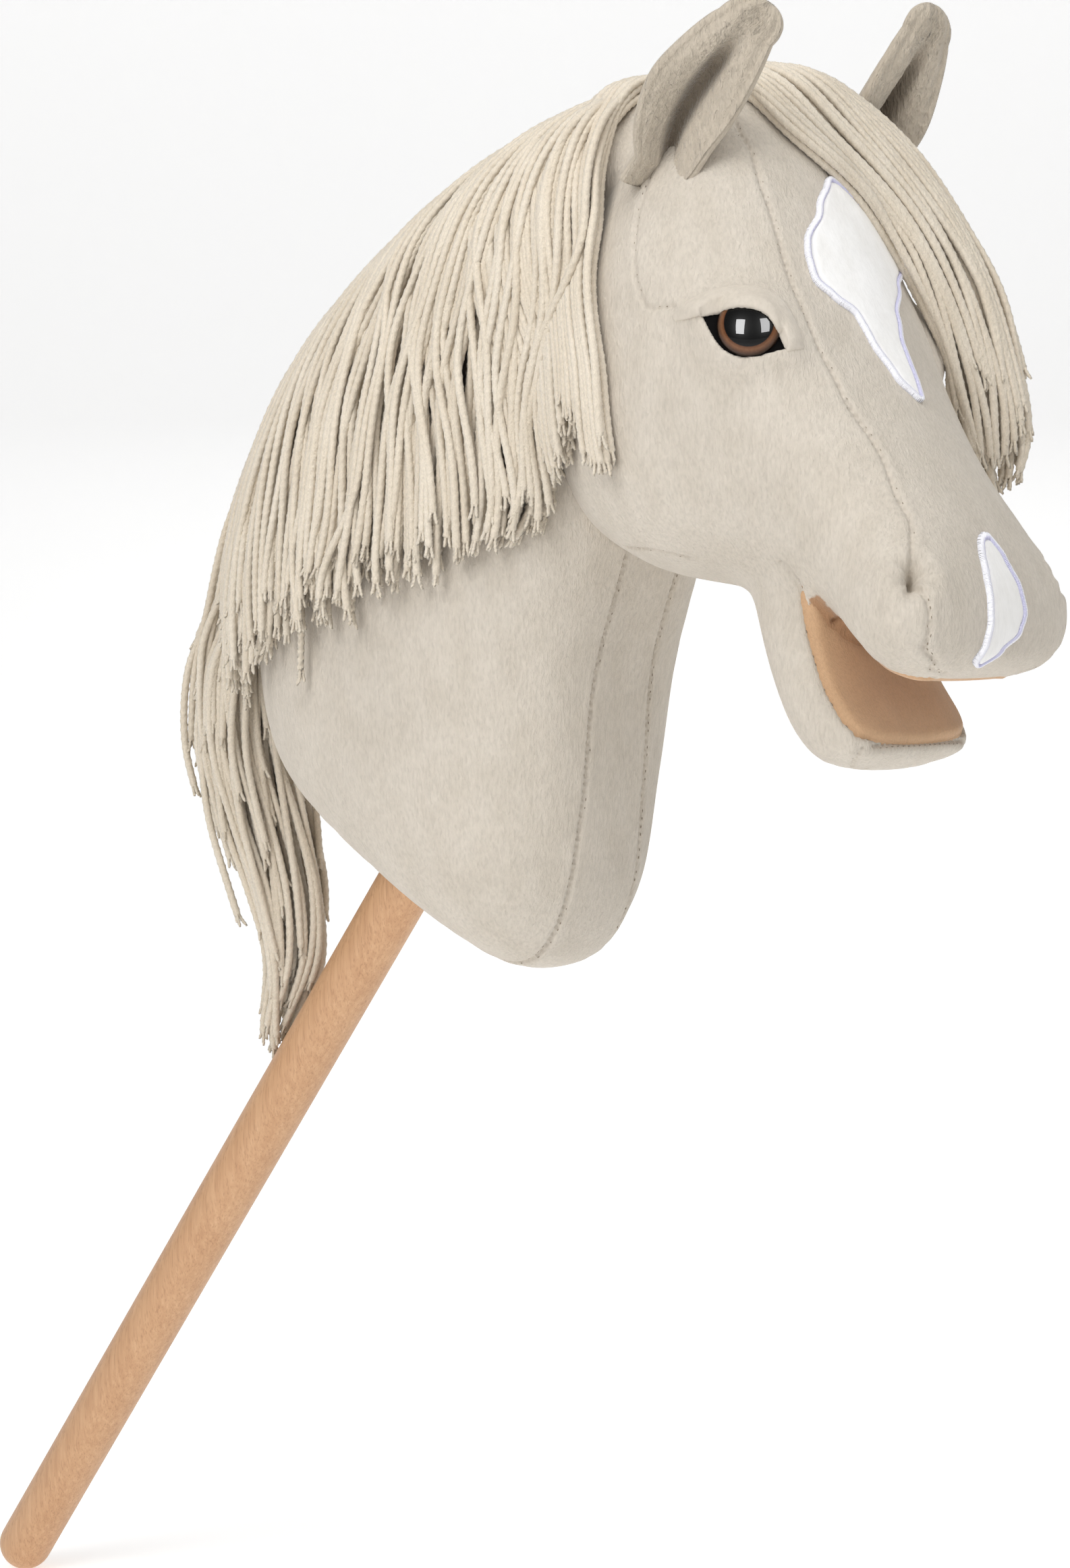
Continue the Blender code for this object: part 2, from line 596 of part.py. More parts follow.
# side of the head with the side of the lower jaw, one panel a side
face = make("face_panel_right", head.patch(
    hu, front_edge(head, GUSSET, SEAM), back_edge(head, UNDER, SEAM), -PLUSH, 0.0, 8))
jaw_side = make("w_jaw_side", jaw.patch(
    ju, front_edge(jaw, LINING, SEAM), back_edge(jaw, chin_keys, SEAM), -PLUSH, 0.0, 6))
cut(face, jaw_side, "UNION", keep_other=False)
cut(face, head_inner)
cut(face, jaw_inner)
cut(face, neck_grown)
cut(face, shank_hole)
paint(largest(face), plush["face_panel_right"])
mirrored(face, "face_panel_left", plush["face_panel_left"])

gusset = make("forehead_gusset", head.patch(
    hu, lambda u: -head.angle_at(u, between(GUSSET, u) - SEAM), front_edge(head, GUSSET, -SEAM),
    -PLUSH, 0.0, 8))
cut(gusset, neck_grown)
paint(largest(gusset), plush["forehead_gusset"])

chin = make("chin_gusset", head.patch(
    [u for u in hu if 0.28 < u < 0.66], back_edge(head, UNDER, -3 * SEAM),
    lambda u: 2 * math.pi - head.angle_behind(u, between(UNDER, u) - 3 * SEAM), -PLUSH, 0.0, 4))
chin_low = make("w_chin_low", jaw.patch(
    ju, back_edge(jaw, chin_keys, -3 * SEAM),
    lambda u: 2 * math.pi - jaw.angle_behind(u, CHIN - 3 * SEAM), -PLUSH, 0.0, 4))
cut(chin, chin_low, "UNION", keep_other=False)
cut(chin, head_inner)
cut(chin, jaw_inner)
cut(chin, neck_grown)
paint(largest(chin), plush["chin_gusset"])

palate = make("palate_lining", head.patch(
    [u for u in hu if u > 0.63], back_edge(head, UNDER, -SEAM),
    lambda u: 2 * math.pi - head.angle_behind(u, between(UNDER, u) - SEAM), -PLUSH, 0.0, 8))
cut(palate, jaw_grown)
paint(largest(palate), short_pile)

lining = make("jaw_lining", jaw.patch(
    [u for u in ju if u <= LINING_END], lambda u: -jaw.angle_at(u, between(LINING, u) - SEAM),
    front_edge(jaw, LINING, -SEAM), -PLUSH, 0.0, 8))
cut(lining, head_grown)
paint(largest(lining), short_pile)

neck_side = make("neck_panel_right", neck.patch(
    nu, front_edge(neck, THROAT, SEAM), lambda u: neck.angle_behind(u, SEAM), -PLUSH, 0.0, 12))
cut(neck_side, head_grown)
cut(neck_side, rod_space)
paint(largest(neck_side), plush["neck_panel_right"])
mirrored(neck_side, "neck_panel_left", plush["neck_panel_left"])

throat = make("throat_gusset", neck.patch(
    nu, lambda u: -neck.angle_at(u, between(THROAT, u) - SEAM), front_edge(neck, THROAT, -SEAM),
    -PLUSH, 0.0, 5))
cut(throat, head_grown)
cut(throat, rod_space)
paint(largest(throat), plush["throat_gusset"])

# ------------------------------------------------------------------ eyes
eye_mat = material("eye_plastic", (0.05, 0.02, 0.01), 0.08)
felt = material("black_felt", (0.012, 0.011, 0.010), 0.95)
lid_mat = material("eyelid_plush", BEIGE, 0.92, 0.0, 0.4)
washer_mat = material("washer_plastic", (0.82, 0.81, 0.78), 0.5)

eye = make("eye_right", turned(eye_shape(), eye_point, eye_out, 20), eye_mat)
washer = make("eye_washer_right", turned(
    [(EYE_SHANK_D / 2 + 0.0003, -0.0062), (WASHER_D / 2, -0.0062),
     (WASHER_D / 2, -0.0062 + WASHER_THICK), (EYE_SHANK_D / 2 + 0.0003, -0.0062 + WASHER_THICK)],
    eye_point, eye_out, 20, ring=True), washer_mat)

corner_rear, corner_front = (-0.0203, 0.0065), (0.0158, -0.0093)


def almond(grow=0.0, n=8):
    """Eye opening: two bulging arcs between the corners."""
    (x0, y0), (x1, y1) = corner_rear, corner_front
    length = math.dist(corner_rear, corner_front)
    tx, ty = (x1 - x0) / length, (y1 - y0) / length
    out = []
    for side, bulge in ((1, 0.0158), (-1, 0.0148)):
        row = []
        for i in range(n):
            t = i / n
            h = side * (bulge + grow) * math.sin(math.pi * t) ** 0.85
            along = -grow + (length + 2 * grow) * t
            row.append((x0 + tx * along - ty * h, y0 + ty * along + tx * h))
        if side < 0:
            row = [row[0]] + row[1:]
            row = row[1:] + [(x1 + tx * grow, y1 + ty * grow)]
            row = row[::-1]
        out += row
    return out[::-1]


pad = make("eye_pad_right", head.patch(
    spread(EYE_U - 0.085, EYE_U + 0.085, 4), lambda u: EYE_A - 0.42, lambda u: EYE_A + 0.42,
    0.0007, 0.0018, 4))
almond_cutter = make("w_almond", prism(almond(), eye_point, eye_across, eye_up, 0.02, 0.02))
cut(pad, almond_cutter, "INTERSECT")
cut(pad, shank_hole)
paint(largest(pad), felt)

# upper lid: a folded strip of plush that laps over the top of the dome
lid_outer = [(-0.0316, 0.0090), (-0.0229, 0.0153), (-0.0088, 0.0184), (0.0051, 0.0164),
             (0.0138, 0.0102), (0.0205, -0.0011), (0.0222, -0.0078)]
lid_inner = [(0.0158, -0.0093), (0.0128, -0.0020), (0.0062, 0.0056), (-0.0051, 0.0082),
             (-0.0203, 0.0065)]
ellipsoid = []
faces = []
M = 16
for i in range(1, 7):
    t = math.pi * i / 7
    for j in range(M):
        q = 2 * math.pi * j / M
        ellipsoid.append(Vector(eye_point) + (eye_across * math.cos(q) * 0.034 + eye_up * math.sin(q) * 0.022)
                         * math.sin(t) + eye_out * math.cos(t) * (EYE_HEIGHT + 0.0032))
for i in range(5):
    for j in range(M):
        k = (j + 1) % M
        faces.append((i * M + j, (i + 1) * M + j, (i + 1) * M + k, i * M + k))
faces.append(tuple(range(M)))
faces.append(tuple(reversed(range(5 * M, 6 * M))))
bulge = make("w_bulge", (ellipsoid, faces))
lid = make("eyelid_right", prism(list(reversed(lid_outer + lid_inner)), eye_point, eye_across, eye_up,
                                 0.006, 0.016))
cut(lid, bulge, "INTERSECT", keep_other=False)
dome_space = make("w_dome_space", turned(
    [(EYE_D / 2 + 0.0006, -0.004)] + eye_shape(0.0006, False)[1:], eye_point, eye_out, 20))
face_space = make("w_face_space", head.solid(0.0024, 26, 32))
cut(lid, dome_space)
cut(lid, face_space)
paint(largest(lid), lid_mat)

for piece, mat in ((eye, eye_mat), (washer, washer_mat), (pad, felt), (lid, lid_mat)):
    mirrored(piece, piece.name.replace("right", "left"), mat)
lid_left = bpy.data.objects["eyelid_left"]

# ------------------------------------------------------------------ white markings
white = material("white_plush", (0.90, 0.89, 0.88), 0.9, 0.0, 0.4)
thread = material("satin_thread", (0.78, 0.77, 0.84), 0.45)


def on_brow(u, y, out):
    """A point on the front of the head, y from the middle (+ left)."""
    a = head.angle_at(u, y)
    return head.at(u, -a if y > 0 else a, out)


def marking(name, right, left, u0, u1, rows, cols, low, high, mat):
    """A patch a little inside the outlines y = right(u) and y = left(u)."""
    step = (u1 - u0) / rows
    rungs = [(u0 + step * i, between(right, u0 + step * i), between(left, u0 + step * i))
             for i in range(rows + 1)]
    for end, near in ((0, 1), (-1, -2)):
        rungs[end] = tuple(0.55 * e + 0.45 * n for e, n in zip(rungs[end], rungs[near]))
    us = [rung[0] for rung in rungs]
    top, bottom = [], []
    for u, a, b in rungs:
        a, b = a + 0.0011, b - 0.0011
        if b - a < 0.0010:
            m = (a + b) / 2
            a, b = m - 0.0005, m + 0.0005
        for j in range(cols + 1):
            y = a + (b - a) * j / cols
            top.append(on_brow(u, y, high))
            bottom.append(on_brow(u, y, low))
    n, m = len(us), cols + 1
    k = n * m
    f = []
    for i in range(n - 1):
        for j in range(cols):
            a, b, c, d = i * m + j, i * m + j + 1, (i + 1) * m + j + 1, (i + 1) * m + j
            f += [(a, b, c, d), (k + a, k + d, k + c, k + b)]
    loop = [(i, 0) for i in range(n)] + [(n - 1, j) for j in range(1, m)]
    loop += [(i, cols) for i in range(n - 2, -1, -1)] + [(0, j) for j in range(cols - 1, 0, -1)]
    ids = [i * m + j for i, j in loop]
    f += [(a, b, k + b, k + a) for a, b in zip(ids, ids[1:] + ids[:1])]
    return make(name, (top + bottom, f), mat)


def edging(name, right, left, u0, u1, rows, width, low, high, mat, scale):
    """The band of satin stitch round a marking: one closed ring; scale is metres of face per u."""
    step = (u1 - u0) / rows
    side_r = [(u0 + step * i, between(right, u0 + step * i)) for i in range(rows + 1)]
    side_l = [(u0 + step * i, between(left, u0 + step * i)) for i in range(rows, -1, -1)]
    pts = [(u * scale, y) for u, y in side_r + side_l]
    n = len(pts)
    outer = []
    for i in range(n):
        ax, ay = pts[i - 1]
        bx, by = pts[(i + 1) % n]
        dx, dy = bx - ax, by - ay
        size = math.hypot(dx, dy) or 1.0
        x, y = pts[i]
        outer.append((x + dy / size * width, y - dx / size * width))
    v = []
    for ring, h in ((pts, low), (outer, low), (outer, high), (pts, high)):
        v += [on_brow(x / scale, y, h) for x, y in ring]
    f = []
    for a, b in ((0, 1), (1, 2), (2, 3), (3, 0)):
        for i in range(n):
            k = (i + 1) % n
            f.append((a * n + i, a * n + k, b * n + k, b * n + i))
    return make(name, (v, f), mat)


marking("blaze_patch", BLAZE_RIGHT, BLAZE_LEFT, 0.268, 0.506, 16, 4, 0.0010, 0.0022, white)
edging("blaze_edging", BLAZE_RIGHT, BLAZE_LEFT, 0.268, 0.506, 16, 0.0022, 0.0010, 0.0025, thread, 0.45)
marking("snip_patch", SNIP_RIGHT, SNIP_LEFT, 0.690, 0.938, 12, 3, 0.0010, 0.0022, white)
edging("snip_edging", SNIP_RIGHT, SNIP_LEFT, 0.690, 0.938, 12, 0.0022, 0.0010, 0.0025, thread, 0.24)

# ------------------------------------------------------------------ ears
ear_mat = material("ear_plush", (0.60, 0.54, 0.45), 0.92, 0.0, 0.4)
ear_pile = material("ear_long_pile", (0.62, 0.56, 0.47), 0.95, 0.0, 0.5)
ear_space = make("w_ear_space", head.solid(EAR_CLEAR, 26, 32))


def ear_frame(spec):
    base, tip, face_way = (Vector(p) for p in spec)
    along = (tip - base).normalized()
    open_way = (face_way - along * face_way.dot(along)).normalized()
    return base, tip, along, open_way, along.cross(open_way)


def ear_leaf(spec, bow, inner, outer, rows, cols, grow=0.0):
    """A leaf folded lengthwise; offsets run out of its back."""
    base, tip, along, open_way, wide = ear_frame(spec)
    length = (tip - base).length
    layers = []
    for off in (inner, outer):
        layer = []
        for i in range(rows + 1):
            t = -0.05 + 1.05 * i / rows
            half = curved(EAR_WIDTH, t) + grow
            fold = curved(EAR_FOLD, t)
            radius = half / fold
            for j in range(cols + 1):
                q = fold * (2 * j / cols - 1)
                centre = base + along * (length * t) + wide * (bow * curved(EAR_BOW, t))
                layer.append(centre + wide * (radius + off) * math.sin(q)
                             + open_way * (radius - (radius + off) * math.cos(q) - 0.5 * half * math.sin(fold / 2)))
        layers.append(layer)
    n, m = rows + 1, cols + 1
    k = n * m
    f = []
    for i in range(rows):
        for j in range(cols):
            a, b, c, d = i * m + j, i * m + j + 1, (i + 1) * m + j + 1, (i + 1) * m + j
            f += [(a, d, c, b), (k + a, k + b, k + c, k + d)]
    loop = [(i, 0) for i in range(n)] + [(n - 1, j) for j in range(1, m)]
    loop += [(i, cols) for i in range(n - 2, -1, -1)] + [(0, j) for j in range(cols - 1, 0, -1)]
    ids = [i * m + j for i, j in loop]
    f += [(b, a, k + a, k + b) for a, b in zip(ids, ids[1:] + ids[:1])]
    return layers[0] + layers[1], f


HINGE_WAY = Vector((0.828, 0.434, 0.355)).normalized()
for side, spec, bow in (("right", EAR_RIGHT, EAR_BOW_RIGHT), ("left", EAR_LEFT, EAR_BOW_LEFT)):
    shell = make("ear_shell_" + side, ear_leaf(spec, bow, 0.0002, 0.0022, 11, 6), ear_mat)
    pile = make("ear_lining_" + side, ear_leaf(spec, bow, -0.0032, -0.0002, 11, 6), ear_pile)
    base = Vector(spec[0])
    turn_way = Vector((HINGE_WAY.x, HINGE_WAY.y if side == "right" else -HINGE_WAY.y, HINGE_WAY.z))
    for obj, mat in ((shell, ear_mat), (pile, ear_pile)):
        cut(obj, ear_space)
        for lean in (-EAR_SWING - 0.6, -0.5 * EAR_SWING, 0.5 * EAR_SWING, EAR_SWING + 0.6):
            swing = Matrix.Translation(base) @ Matrix.Rotation(math.radians(lean), 4, turn_way) \
                @ Matrix.Translation(-base)
            v, f = head.solid(0.0009, 26, 32)
            cut(obj, make("w_ear_path", ([swing @ Vector(q) for q in v], f)), keep_other=False)
        paint(largest(obj), mat)
        obj.data.transform(Matrix.Translation(-base))
        obj.location = base

# ------------------------------------------------------------------ mane and forelock
yarn = material("yarn", CREAM, 0.9, 0.0, 0.3)
tape_mat = material("woven_tape", (0.72, 0.66, 0.56), 0.85)

tape = make("mane_tape", neck.patch(
    spread(0.36, 0.93, 12), lambda u: neck.angle_behind(u, TAPE_HALF),
    lambda u: 2 * math.pi - neck.angle_behind(u, TAPE_HALF), 0.0009, 0.0021, 2), tape_mat)
cut(tape, head_grown)
paint(largest(tape), tape_mat)
make("forelock_tape", head.patch(
    spread(0.05, 0.12, 2), lambda u: -head.angle_at(u, 0.018), lambda u: head.angle_at(u, 0.018),
    0.0009, 0.0021, 3), tape_mat)

mane = make("mane_right", curtain.patch(
    spread(0.0, 1.0, 12), lambda u: 0.25, lambda u: math.pi, -0.0003,
    lambda s, t: MANE_THICK * (0.72 + 0.28 * math.sin(math.pi * min(1.0, 1.2 * t))), 9), yarn)
window = make("w_window", prism(MANE_OUTLINE, (0, -0.0003, 0), (1, 0, 0), (0, 0, 1), 0.0, 0.14))
cut(mane, window, "INTERSECT")
cut(mane, neck_grown)
cut(mane, head_grown)
paint(largest(mane), yarn)
mirrored(mane, "mane_left", yarn)

make("mane_tuft", Loft(TUFT).solid(0.0, 9, 10), yarn)


def ribbon(rows, steps, sides):
    """A soft flat lock through rows of two edge points and a half-thickness."""
    rows = np.array(rows, float)
    last = len(rows) - 1

    def row(u):
        t = u * last
        i = min(int(t), last - 1)
        t -= i
        p1, p2 = rows[i], rows[i + 1]
        p0 = rows[i - 1] if i > 0 else 2 * p1 - p2
        p3 = rows[i + 2] if i + 2 <= last else 2 * p2 - p1
        return 0.5 * (2 * p1 + (p2 - p0) * t + (2 * p0 - 5 * p1 + 4 * p2 - p3) * t * t
                      + (3 * p1 - p0 - 3 * p2 + p3) * t ** 3)
    v, f = [], []
    for i in range(steps + 1):
        u = i / steps
        here = row(u)
        ahead, behind = row(min(1.0, u + 0.02)), row(max(0.0, u - 0.02))
        centre = (here[:3] + here[3:6]) / 2
        across = (here[3:6] - here[:3]) / 2
        way = (ahead[:3] + ahead[3:6] - behind[:3] - behind[3:6])
        flat = np.cross(way, across)
        flat /= np.linalg.norm(flat)
        for j in range(sides):
            t = 2 * math.pi * j / sides
            v.append(centre + across * math.cos(t) + flat * here[6] * math.sin(t))
    for i in range(steps):
        for j in range(sides):
            a, b = i * sides + j, i * sides + (j + 1) % sides
            f.append((a, a + sides, b + sides, b))
    f += [tuple(range(sides)), tuple(reversed(range(steps * sides, (steps + 1) * sides)))]
    return v, f


fore = make("forelock", ribbon(FORELOCK, 16, 12), yarn)
fore_space = make("w_fore_space", head.solid(0.0032, 26, 32))
cut(fore, fore_space)
eye_room = []
for p in ellipsoid:
    q = p - Vector(eye_point)
    q = Vector(eye_point) + q * 1.10
    eye_room.append(Vector((q.x, -q.y, q.z)))
left_eye_room = make("w_left_eye_room", (eye_room, faces))
cut(fore, left_eye_room)
hinge_left = Vector((HINGE_WAY.x, -HINGE_WAY.y, HINGE_WAY.z))
for lean in [EAR_SWING * k / 3 for k in range(-3, 4)]:
    v, f = ear_leaf(EAR_LEFT, EAR_BOW_LEFT, -0.0065, 0.0055, 9, 6, grow=0.003)
    turn = Matrix.Translation(Vector(EAR_LEFT[0])) @ Matrix.Rotation(math.radians(lean), 4, hinge_left) \
        @ Matrix.Translation(-Vector(EAR_LEFT[0]))
    swept = make("w_ear_swept", ([turn @ p for p in v], f))
    cut(fore, swept, keep_other=False)
paint(largest(fore), yarn)

# ------------------------------------------------------------------ remove the working volumes
for obj in [o for o in bpy.data.objects if o.name.startswith("w_")]:
    drop(obj)
for mat in [m for m in bpy.data.materials if m.users == 0]:
    bpy.data.materials.remove(mat)
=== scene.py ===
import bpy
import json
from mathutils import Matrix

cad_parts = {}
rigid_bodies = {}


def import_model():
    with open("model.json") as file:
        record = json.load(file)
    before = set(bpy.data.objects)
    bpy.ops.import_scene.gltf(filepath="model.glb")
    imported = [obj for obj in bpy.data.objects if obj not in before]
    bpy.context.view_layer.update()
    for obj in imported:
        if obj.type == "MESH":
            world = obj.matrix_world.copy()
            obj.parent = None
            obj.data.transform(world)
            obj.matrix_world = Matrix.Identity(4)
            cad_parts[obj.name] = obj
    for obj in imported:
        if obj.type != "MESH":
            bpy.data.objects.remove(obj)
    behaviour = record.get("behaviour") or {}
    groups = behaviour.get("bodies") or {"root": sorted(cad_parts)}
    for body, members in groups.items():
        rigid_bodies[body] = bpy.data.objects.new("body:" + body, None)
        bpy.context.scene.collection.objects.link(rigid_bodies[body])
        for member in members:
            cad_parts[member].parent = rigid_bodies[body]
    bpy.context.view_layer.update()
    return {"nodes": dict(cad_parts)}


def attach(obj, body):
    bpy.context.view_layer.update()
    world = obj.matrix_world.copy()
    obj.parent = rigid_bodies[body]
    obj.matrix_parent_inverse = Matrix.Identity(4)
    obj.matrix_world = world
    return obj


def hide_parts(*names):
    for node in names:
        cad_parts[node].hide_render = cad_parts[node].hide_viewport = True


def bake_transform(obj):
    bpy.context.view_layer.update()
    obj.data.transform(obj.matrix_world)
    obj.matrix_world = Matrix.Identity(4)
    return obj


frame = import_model()
import bmesh
import bpy
import json
import math
import random
import numpy as np
from mathutils import Matrix, Vector, noise
from mathutils.bvhtree import BVHTree
from mathutils.kdtree import KDTree

# ------------------------------------------------------------------ driving dimensions (m)
GAP = 0.0003                       # air between neighbouring pieces
STICK_D = 0.028                    # round beech rod
STICK_LENGTH = 0.720               # 0.467 m of it shows below the neck
STICK_LEAN = math.radians(36.6)    # from upright, in the plane of symmetry
STICK_END_FLAT = 0.010             # diameter of the flat on the rounded lower end
SLEEVE_BORE = STICK_D + 0.0008
SLEEVE_WALL = 0.0022
SLEEVE_START = 0.503               # along the stick, from its lower end
CAP_THICK = 0.003
PLUSH = 0.0020                     # pile and backing together
STUFF = PLUSH + 0.0020             # how far the filling lies inside the outer face
CLEAR = 0.0009                     # space kept where one stuffed shape is sewn against another
SEAM = 0.00018                     # half of the air at a seam

EYE_D = 0.0265
EYE_HEIGHT = 0.0095
EYE_SHANK_D = 0.006
EYE_SHANK = 0.0145
WASHER_D = 0.018
WASHER_THICK = 0.0016
EYE_U, EYE_A = 0.386, 0.90          # place of the right eye on the head's surface

# Seams, as half-widths (m) or y (m, + left) along each shape
GUSSET = [(0.0, 0.011), (0.12, 0.026), (0.21, 0.0375), (0.28, 0.0420), (0.38, 0.0453), (0.42, 0.0450),
          (0.48, 0.0420), (0.56, 0.0380), (0.64, 0.0425), (0.73, 0.0545), (0.80, 0.0540),
          (0.86, 0.0540), (0.92, 0.0440), (1.0, 0.0285)]
UNDER = [(0.0, 0.012), (0.30, 0.0215), (0.62, 0.0215), (0.70, 0.034), (0.85, 0.047), (1.0, 0.0295)]
THROAT = [(0.0, 0.0030), (0.10, 0.0240), (0.30, 0.0240), (0.42, 0.0215), (0.55, 0.0200), (0.8, 0.020),
          (1.0, 0.010)]
LINING = [(0.0, 0.0285), (0.29, 0.0422), (0.64, 0.0446), (0.715, 0.0415), (0.755, 0.0325), (0.785, 0.004)]
LINING_END = 0.785
CHIN = 0.0215
BLAZE_RIGHT = [(0.268, -0.0015), (0.303, -0.0160), (0.332, -0.0300), (0.345, -0.0325), (0.371, -0.0336),
               (0.390, -0.0270), (0.410, -0.0178), (0.439, -0.0158), (0.480, -0.0100), (0.506, -0.0010)]
BLAZE_LEFT = [(0.268, 0.0015), (0.290, 0.0150), (0.315, 0.0330), (0.345, 0.0385), (0.371, 0.0251),
              (0.410, 0.0106), (0.444, 0.0045), (0.475, 0.0035), (0.506, 0.0010)]
SNIP_RIGHT = [(0.690, -0.0065), (0.700, -0.0108), (0.723, -0.0138), (0.765, -0.0160), (0.826, -0.0176),
              (0.873, -0.0193), (0.917, -0.0214), (0.938, -0.0185)]
SNIP_LEFT = [(0.690, -0.0035), (0.723, 0.0019), (0.774, 0.0070), (0.810, 0.0080), (0.849, 0.0040),
             (0.886, -0.0070), (0.938, -0.0165)]

# Each ear: middle of the base, tip, direction that the open side faces
EAR_RIGHT = ((0.4808, -0.0583, 0.6977), (0.5385, -0.0585, 0.7600), (0.45, -0.83, -0.33))
EAR_LEFT = ((0.4967, 0.0535, 0.7015), (0.5400, 0.0590, 0.7770), (0.90, -0.25, -0.12))
EAR_WIDTH = [(0.0, 0.0165), (0.10, 0.0198), (0.245, 0.0216), (0.416, 0.0222), (0.60, 0.0192), (0.80, 0.0138),
             (0.90, 0.0092), (1.0, 0.0023)]
EAR_BOW = [(0.0, 0.0), (0.10, 0.0030), (0.245, 0.0058), (0.416, 0.0068), (0.60, 0.0062), (0.80, 0.0050),
           (0.90, 0.0036), (1.0, 0.0)]
EAR_BOW_RIGHT, EAR_BOW_LEFT = -1.0, 0.6    # which way, and how far, each ear curves across itself
EAR_FOLD = [(0.0, 1.45), (0.35, 1.10), (0.7, 0.85), (1.0, 0.55)]
EAR_CLEAR = 0.0036                 # air under an ear, so that it can lean over

EAR_SWING = 20.0                   # degrees each way about the seam that holds an ear

TAPE_HALF = 0.007
MANE_THICK = 0.0105
MANE_OUTLINE = [(0.452, 0.80), (0.452, 0.610), (0.441, 0.578), (0.402, 0.557), (0.345, 0.536),
                (0.300, 0.529), (0.276, 0.511), (0.240, 0.5085), (0.120, 0.5085), (0.120, 0.80)]
# lock that hangs behind the neck: front x, z  back x, z  half-width, and the shape of the section
TUFT = [
    (0.2010, 0.5076, 0.164, 0.5076, 0.020, 0.5, 2.0, 2.0),
    (0.2000, 0.480, 0.154, 0.480, 0.024, 0.5, 2.0, 2.0),
    (0.2040, 0.445, 0.149, 0.445, 0.025, 0.5, 2.0, 2.0),
    (0.2140, 0.410, 0.155, 0.410, 0.024, 0.5, 2.0, 2.0),
    (0.2210, 0.375, 0.173, 0.375, 0.021, 0.5, 2.0, 2.0),
    (0.2200, 0.340, 0.189, 0.340, 0.016, 0.5, 2.0, 2.0),
    (0.2060, 0.308, 0.191, 0.308, 0.009, 0.5, 2.0, 2.0),
    (0.1980, 0.291, 0.194, 0.291, 0.003, 0.5, 2.0, 2.0),
]
# lock that falls from the poll to the left of the face: edge near the middle x, y, z
# edge on the outside x, y, z   half-thickness
FORELOCK = [
    (0.4660, -0.018, 0.7440, 0.4660, 0.020, 0.7440, 0.0050),
    (0.4990, -0.013, 0.7390, 0.5040, 0.029, 0.7430, 0.0080),
    (0.5180, -0.006, 0.7120, 0.5290, 0.052, 0.7180, 0.0095),
    (0.5330, 0.021, 0.6850, 0.5500, 0.070, 0.6800, 0.0100),
    (0.5430, 0.038, 0.6550, 0.5640, 0.082, 0.6480, 0.0100),
    (0.5490, 0.052, 0.6220, 0.5710, 0.087, 0.6170, 0.0095),
    (0.5530, 0.063, 0.5920, 0.5730, 0.088, 0.5890, 0.0080),
    (0.5580, 0.073, 0.5650, 0.5690, 0.084, 0.5640, 0.0030),
]

AXIS = Vector((math.sin(STICK_LEAN), 0.0, math.cos(STICK_LEAN)))

# Stations of the three stuffed volumes. Each row is one cross-section:
# front x, z   back x, z   half-width   widest point (0 back, 1 front)   squareness front, back
NECK = [
    (0.345, 0.353, 0.243, 0.421, 0.0030, 0.50, 2.0, 2.0),
    (0.366, 0.345, 0.227, 0.433, 0.0360, 0.50, 2.4, 2.2),
    (0.388, 0.351, 0.214, 0.455, 0.0570, 0.50, 2.6, 2.2),
    (0.405, 0.381, 0.209, 0.490, 0.0690, 0.50, 2.7, 2.2),
    (0.412, 0.430, 0.211, 0.536, 0.0730, 0.50, 2.9, 2.2),
    (0.417, 0.484, 0.226, 0.584, 0.0740, 0.50, 3.4, 2.1),
    (0.434, 0.536, 0.258, 0.629, 0.0700, 0.50, 3.4, 2.1),
    (0.452, 0.595, 0.304, 0.667, 0.0610, 0.50, 2.6, 2.1),
    (0.466, 0.640, 0.355, 0.697, 0.0500, 0.50, 2.2, 2.1),
    (0.472, 0.676, 0.401, 0.714, 0.0380, 0.50, 2.1, 2.1),
    (0.470, 0.698, 0.431, 0.718, 0.0140, 0.50, 2.0, 2.0),
]
HEAD = [
    (0.462, 0.741, 0.442, 0.722, 0.0120, 0.50, 2.0, 2.0),
    (0.484, 0.743, 0.420, 0.686, 0.0400, 0.50, 2.2, 2.1),
    (0.504, 0.729, 0.402, 0.634, 0.0600, 0.50, 2.4, 2.2),
    (0.523, 0.703, 0.400, 0.586, 0.0730, 0.48, 2.6, 2.3),
    (0.539, 0.668, 0.416, 0.549, 0.0780, 0.47, 2.6, 2.3),
    (0.555, 0.634, 0.448, 0.529, 0.0750, 0.46, 2.6, 2.3),
    (0.572, 0.602, 0.487, 0.521, 0.0660, 0.46, 2.5, 2.2),
    (0.589, 0.574, 0.521, 0.517, 0.0580, 0.48, 2.5, 2.2),
    (0.605, 0.549, 0.547, 0.509, 0.0590, 0.50, 2.7, 2.3),
    (0.616, 0.526, 0.565, 0.497, 0.0650, 0.50, 3.0, 2.4),
    (0.620, 0.506, 0.578, 0.487, 0.0620, 0.50, 3.0, 2.4),
    (0.616, 0.491, 0.588, 0.482, 0.0480, 0.50, 2.6, 2.3),
    (0.606, 0.4845, 0.600, 0.4822, 0.0300, 0.50, 2.0, 2.0),
]
